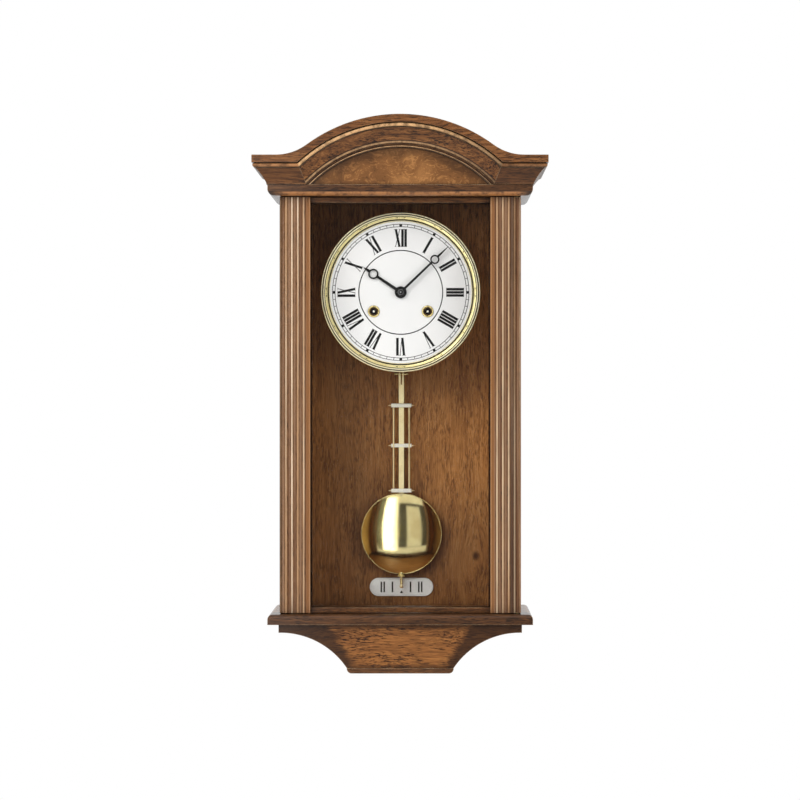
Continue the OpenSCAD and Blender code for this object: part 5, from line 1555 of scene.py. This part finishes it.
@dataclass
class Pendulum:
    """The pendulum from its leader down to the threaded tip."""

    plane: float = -24.0
    bob_height: float = -386.9
    bob_radius: float = 50.0
    dome: float = 12.5
    back_dome: float = 4.0
    rim: float = 2.0
    rod_half: float = 3.2
    rod_thick: float = 1.2
    hook_height: float = -189.9
    rod_end: float = -416.9
    bars: tuple[float, float, float] = (-228.7, -278.2, -333.8)
    bar_half: float = 12.6
    side_rod: float = 9.6
    tip_low: float = -454.3
    fork: float = 0.8
    bore_radius: float = 1.95
    play: float = 0.05
    thread_radius: float = 1.62
    thread_ridge: float = 0.26
    thread_length: float = 11.1
    thread_turns: float = 15.0
    nut_radius: float = 4.0
    nut_tall: float = 3.2
    knurls: int = 48

    def bob(self) -> bpy.types.Object:
        """Turns the bob with its domes and rolled rim."""
        def cap(height: float, start: float, way: int) -> list[Flat]:
            """Gives a dome's profile from its rim to its middle."""
            edge = self.bob_radius - 0.9
            radius = (edge ** 2 + height ** 2) / (2 * height)
            return [(edge * step / 40, way * (start + math.sqrt(radius ** 2 - (edge * step / 40) ** 2) - radius
                                              + height)) for step in range(40, -1, -1)]
        half = self.rim / 2
        front = cap(self.dome, half, 1)
        back = cap(self.back_dome, half, -1)[::-1]
        rolled = arc((self.bob_radius - 0.9, 0.0), (0.9, half + 0.15), -90.0, 90.0, 12)
        return Mould().spindle(back + rolled + front, (0.0, self.plane, self.bob_height), turns=160).cast(
            "bob_spun", Finish.BRASS_MIRROR, smooth=32.0)

    def bore(self, bob: bpy.types.Object) -> bpy.types.Object:
        """Cuts the passage in which the bob slides over the rod and its threaded tip.

        Args:
            bob: The turned bob.

        Returns:
            The same object.
        """
        low, high = self.bob_height - self.bob_radius - 1.0, self.bob_height + self.bob_radius + 1.0
        radius, half, thick = self.bore_radius, self.rod_half + self.play, self.rod_thick / 2 + self.play
        hole = Mould().spindle(((0.0, 0.0), (radius, 0.0), (radius, high - low - 2.0), (0.0, high - low - 2.0)),
                               (0.0, self.plane, low), UPWARDS, turns=32)
        slot = Mould().bar((-half, self.plane - thick, self.rod_end - 2.0), (half, self.plane + thick, high))
        for name, mould in (("bob_hole", hole), ("bob_slot", slot)):
            cutter = mould.cast(name, Finish.BRASS_MIRROR)
            cut = bob.modifiers.new(name, "BOOLEAN")
            cut.operation = "DIFFERENCE"
            cut.solver = "EXACT"
            cut.object = cutter
            settle(bob)
            bpy.data.objects.remove(cutter, do_unlink=True)
        bob.data.set_sharp_from_angle(angle=math.radians(32.0))
        return bob

    def crossbar(self, mould: Mould, height: float, side: int) -> None:
        """Adds one crossbar; side 1 stands behind the rod."""
        y = self.plane + side * 0.9
        section = []
        for step in range(24):
            turn = math.pi * (step + 0.5) / 12
            deep, tall = math.cos(turn), math.sin(turn)
            section.append((y + math.copysign(1.6 * abs(deep) ** 0.4, deep),
                            height + math.copysign(2.4 * abs(tall) ** 0.4, tall)))
        mould.loft([[(x, *point) for point in section] for x in (-self.bar_half, self.bar_half)])

    def finial(self, mould: Mould, height: float, side: int) -> None:
        """Adds the small turned points at both ends of a crossbar."""
        shape = [(0.0, -0.6), (0.6, -0.6), (0.6, 0.4), *arc((0.45, 1.2), (0.5, 0.8), -90.0, 90.0, 9),
                 (0.5, 2.3), (0.1, 3.7), (0.0, 3.8)]
        for way in (-1, 1):
            mould.spindle(shape, (way * self.bar_half, self.plane + side * 0.9, height), (float(way), 0.0, 0.0),
                          turns=20)

    def rod(self) -> bpy.types.Object:
        """Makes the forked rod with the crossbars' points, the side rods and the threaded tip."""
        frame_mould = Mould()
        half, thick, fork = self.rod_half, self.rod_thick / 2, self.fork
        low = self.hook_height - 13.0
        frame_mould.prism(((-half, self.rod_end), (half, self.rod_end), (half, self.hook_height),
                           (fork, self.hook_height), (fork, low), (-fork, low), (-fork, self.hook_height),
                           (-half, self.hook_height)), self.plane - thick, self.plane + thick)
        for way in (-1, 1):
            eye = ((1.12, 0.0), (2.3, 0.0), (2.3, half - fork), (1.12, half - fork))
            frame_mould.spindle(eye, (way * fork, self.plane, self.hook_height), (float(way), 0.0, 0.0),
                                turns=28, closed=True)
        for way in (-1, 1):
            frame_mould.spindle(((0.0, 0.0), (1.1, 0.0), (1.1, self.bars[0] - self.bars[2] + 2.0),
                                 (0.0, self.bars[0] - self.bars[2] + 2.0)),
                                (way * self.side_rod, self.plane, self.bars[2] - 1.0), UPWARDS, turns=20)
        for height, side in zip(self.bars, (-1, 1, -1)):
            self.finial(frame_mould, height, side)
        tip = [(0.0, 0.0), (0.9, 0.1), (1.8, 0.8), (2.3, 2.0), (2.2, 3.0), (1.5, 4.2), (1.3, 4.7), (1.66, 5.1),
               (1.66, self.rod_end + 1.0 - self.tip_low), (0.0, self.rod_end + 1.0 - self.tip_low)]
        frame_mould.spindle(tip, (0.0, self.plane, self.tip_low), UPWARDS, turns=28)
        return frame_mould.cast("pendulum_rod_fine", Finish.BRASS_SATIN, bevel=0.28)

    def crossbars(self) -> bpy.types.Object:
        """Makes the three crossbars, pale as a painted highlight: the middle one lies behind the rod."""
        bars = Mould()
        for height, side in zip(self.bars, (-1, 1, -1)):
            self.crossbar(bars, height, side)
        return bars.cast("pendulum_crossbars", Finish.BRASS_PALE_HIGHLIGHT, bevel=0.7)

    def build(self, shop: Workshop) -> None:
        """Makes the pendulum.

        Args:
            shop: The shared trees.
        """
        dress(Finish.BRASS_BRIGHT, "suspension_leader")
        rod = carry(self.rod(), "pendulum")
        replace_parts(rod, "pendulum_rod")
        carry(self.crossbars(), "pendulum")
        bob = carry(self.bore(self.bob()), "bob")
        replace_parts(bob, "pendulum_bob")
        reach = self.bob_radius - 0.5
        rim = arc((0.0, self.bob_height), (reach, reach), -90.0, 270.0, 120)[1:-1]
        Mould().wire([(x, self.plane - 1.0, z) for x, z in rim], 0.34, 8).give("bob_rim", "bob", Finish.BRASS_MIRROR)
        thread = hang("rod_thread", bpy.data.meshes.new("rod_thread"))
        shop.thread.run(thread, Finish.BRASS_BRIGHT, {
            "Radius": self.thread_radius * MM, "Turns": self.thread_turns, "Length": self.thread_length * MM,
            "Ridge": self.thread_ridge * MM, "Base": (0.0, self.plane * MM, (self.tip_low + 5.4) * MM)})
        carry(thread, "pendulum")
        self.nut(shop)

    def nut(self, shop: Workshop) -> None:
        """Turns the rating nut and knurls its rim."""
        top = self.bob_height - self.bob_radius - 0.3
        low = top - self.nut_tall
        hole, wide, tall = self.bore_radius, self.nut_radius, self.nut_tall
        body = [(hole, 0.0), (3.3, 0.0), (3.9, 0.35), (wide, 0.6), (wide, 2.6), (3.9, 2.85), (3.3, tall),
                (hole, tall)]
        piece = Mould().spindle(body, (0.0, self.plane, low), UPWARDS, turns=48, closed=True).cast(
            "rating_nut_turned", Finish.BRASS_BRIGHT)
        carry(piece, "rating_nut")
        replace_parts(piece, "rating_nut")
        ridge = Mould().prism(((-0.2, -0.1), (0.2, -0.1), (0.0, 0.32)), -1.0, 1.0).cast(
            "rating_nut_knurl", Finish.BRASS_BRIGHT)
        shop.ring.run(ridge, Finish.BRASS_BRIGHT, {
            "Count": self.knurls, "Radius": wide * MM, "Lean": (math.pi / 2, 0.0, 0.0),
            "Centre": (0.0, self.plane * MM, (low + tall / 2) * MM)})
        carry(ridge, "rating_nut")


@dataclass(frozen=True)
class Glow(Recipe):
    """The even light of a studio card, which may dim along x between two places in millimetres."""

    level: float = 1.0
    fade: Flat | None = None
    shade: tuple[float, float, float, float] = (1.0, 1.0, 1.0, 1.0)
    dimmed: float = 0.28

    def shader(self, graph: Graph) -> bpy.types.Node:
        """Gives the light its strength."""
        strength: object = self.level
        if self.fade:
            strength = graph.border(graph.parts(graph.spot())[0], self.fade[0], self.fade[1], self.level,
                                    self.dimmed * self.level)
        return graph.add("ShaderNodeEmission", None, {"Color": self.shade, "Strength": strength})


def seen(graph: Graph) -> bpy.types.NodeSocket:
    """Tells the rays that show the surroundings from those that only light the clock."""
    path = graph.add("ShaderNodeLightPath").outputs
    shown = graph.math("MAXIMUM", path["Is Camera Ray"], path["Is Glossy Ray"])
    return graph.math("MAXIMUM", shown, path["Is Transmission Ray"])


@dataclass(frozen=True)
class PaleFloor(Recipe):
    """Pale ground that keeps a faint shadow."""

    shown: float = 0.6

    def shader(self, graph: Graph) -> bpy.types.Node:
        """Mixes the ground with the background's white where it is seen."""
        tone = graph.ramp(graph.noise(graph.spot(), 3.0, 3.0), (
            (0.0, (0.84, 0.84, 0.84, 1.0)), (1.0, (0.87, 0.87, 0.87, 1.0))))
        ground = graph.add("ShaderNodeBsdfPrincipled", None, {"Base Color": tone, "Roughness": 0.8})
        light = graph.add("ShaderNodeEmission", None, {"Color": (1.0, 1.0, 1.0, 1.0), "Strength": 1.0})
        return graph.blend(graph.times(seen(graph), self.shown), ground, light)


@dataclass
class Studio:
    """The camera, the lamps and the plain pale surroundings."""

    camera: Spot = (36.0, -3170.0, -222.0)
    aim: Spot = (0.0, -100.0, -220.0)
    lens: float = 114.67
    shift: float = -0.0382
    floor_height: float = -2200.0
    floor_end: float = 2600.0
    floor_reach: float = 7000.0
    room_level: float = 0.5
    key_watts: float = 74.0
    fill_watts: float = 50.0
    card_distance: float = -3500.0

    def card(self, name: str, x: Flat, z: Flat, y: float, glow: Glow) -> None:
        """Stands up a card that only bright surfaces see."""
        board = self.sheet(name, ((x[0], y, z[0]), (x[0], y, z[1]), (x[1], y, z[1]), (x[1], y, z[0])), glow)
        board.visible_camera = False
        board.visible_diffuse = False
        board.visible_shadow = False

    def lamp(self, name: str, place: Spot, size: Flat, watts: float,
             shade: tuple[float, float, float]) -> None:
        """Hangs a soft lamp that lights the clock and shows in nothing."""
        data = bpy.data.lights.new(name, "AREA")
        data.shape = "RECTANGLE"
        data.size, data.size_y = size[0] * MM, size[1] * MM
        data.energy = watts
        data.color = shade
        lamp = hang(name, data)
        lamp.location = Vector(place) * MM
        lamp.rotation_euler = (Vector(self.aim) - Vector(place)).to_track_quat("-Z", "Y").to_euler()
        lamp.visible_glossy = False
        lamp.visible_transmission = False
        lamp.visible_camera = False

    def background(self) -> None:
        """Lights the room evenly and shows it white behind the clock."""
        world = bpy.data.worlds.new("studio_room")
        bpy.context.scene.world = world
        world.use_nodes = True
        graph = Graph(world.node_tree)
        room = graph.add("ShaderNodeBackground", None, {
            "Color": (1.0, 0.99, 0.975, 1.0), "Strength": self.room_level})
        white = graph.add("ShaderNodeBackground", None, {"Color": (1.0, 1.0, 1.0, 1.0), "Strength": 1.0})
        graph.end(graph.blend(seen(graph), room, white), "World")

    def sheet(self, name: str, corners: Sequence[Spot], recipe: Recipe) -> bpy.types.Object:
        """Adds one flat sheet of the surroundings.

        Args:
            name: The object's name.
            corners: Its four corners in millimetres.
            recipe: What it is made of.

        Returns:
            The sheet.
        """
        mesh = bpy.data.meshes.new(name)
        mesh.from_pydata([tuple(value * MM for value in corner) for corner in corners], [], [(0, 1, 2, 3)])
        mesh.materials.append(recipe.material())
        return hang(name, mesh)

    def floor(self) -> None:
        """Lays the pale floor, which keeps the clock's shadow."""
        reach, far, level = self.floor_reach, self.floor_end, self.floor_height
        corners = ((-reach, -reach, level), (reach, -reach, level), (reach, far, level), (-reach, far, level))
        self.sheet("studio_floor", corners, PaleFloor("studio_floor"))

    def build(self) -> None:
        """Sets up the camera, the lamps, the cards and the floor."""
        data = bpy.data.cameras.new("camera")
        data.lens = self.lens
        data.sensor_width = 36.0
        data.shift_x = self.shift
        data.clip_start, data.clip_end = 0.05, 60.0
        camera = hang("camera", data)
        camera.location = Vector(self.camera) * MM
        camera.rotation_euler = (math.pi / 2, 0.0, 0.0)
        bpy.context.scene.camera = camera
        bpy.context.scene.view_settings.view_transform = "Standard"
        self.background()
        self.floor()
        self.lamp("key_lamp", (-1700.0, -2300.0, 1300.0), (2300.0, 2300.0), self.key_watts, (1.0, 0.985, 0.96))
        self.lamp("fill_lamp", (2500.0, -1700.0, 100.0), (1800.0, 2200.0), self.fill_watts, (0.97, 0.985, 1.0))
        near = self.card_distance
        for name, x, z, y, glow in (
                ("card_soft_light", (-1800.0, -290.0), (-2150.0, 3900.0), near,
                 Glow("card_bright", 4.0, (-900.0, -290.0))),
                ("card_grey", (-2420.0, -1960.0), (-2150.0, 3900.0), near,
                 Glow("card_dim_green", 0.24, shade=(0.86, 0.95, 0.74, 1.0))),
                ("card_dark_high", (-4200.0, -1800.0), (2600.0, 4200.0), near - 60.0, Glow("card_black_high", 0.1)),
                ("card_window", (455.0, 1870.0), (-1760.0, 2260.0), near, Glow("card_dim", 0.85)),
                ("card_dark", (-6500.0, 6500.0), (-1830.0, 2780.0), near - 100.0, Glow("card_black", 0.06))):
            self.card(name, x, z, y, glow)


def main() -> None:
    """Builds the studio, then the clock's finishes and fine pieces in order."""
    logging.basicConfig(level=logging.INFO, format="%(name)s: %(message)s")
    Studio().build()
    shop = Workshop()
    CaseWork().build(shop)
    WallFittings().build(shop)
    GlazedDoor().build(shop)
    DialFace().build(shop)
    Hands().build()
    Movement().build(shop)
    Pendulum().build(shop)


if __name__ == "__main__":
    main()
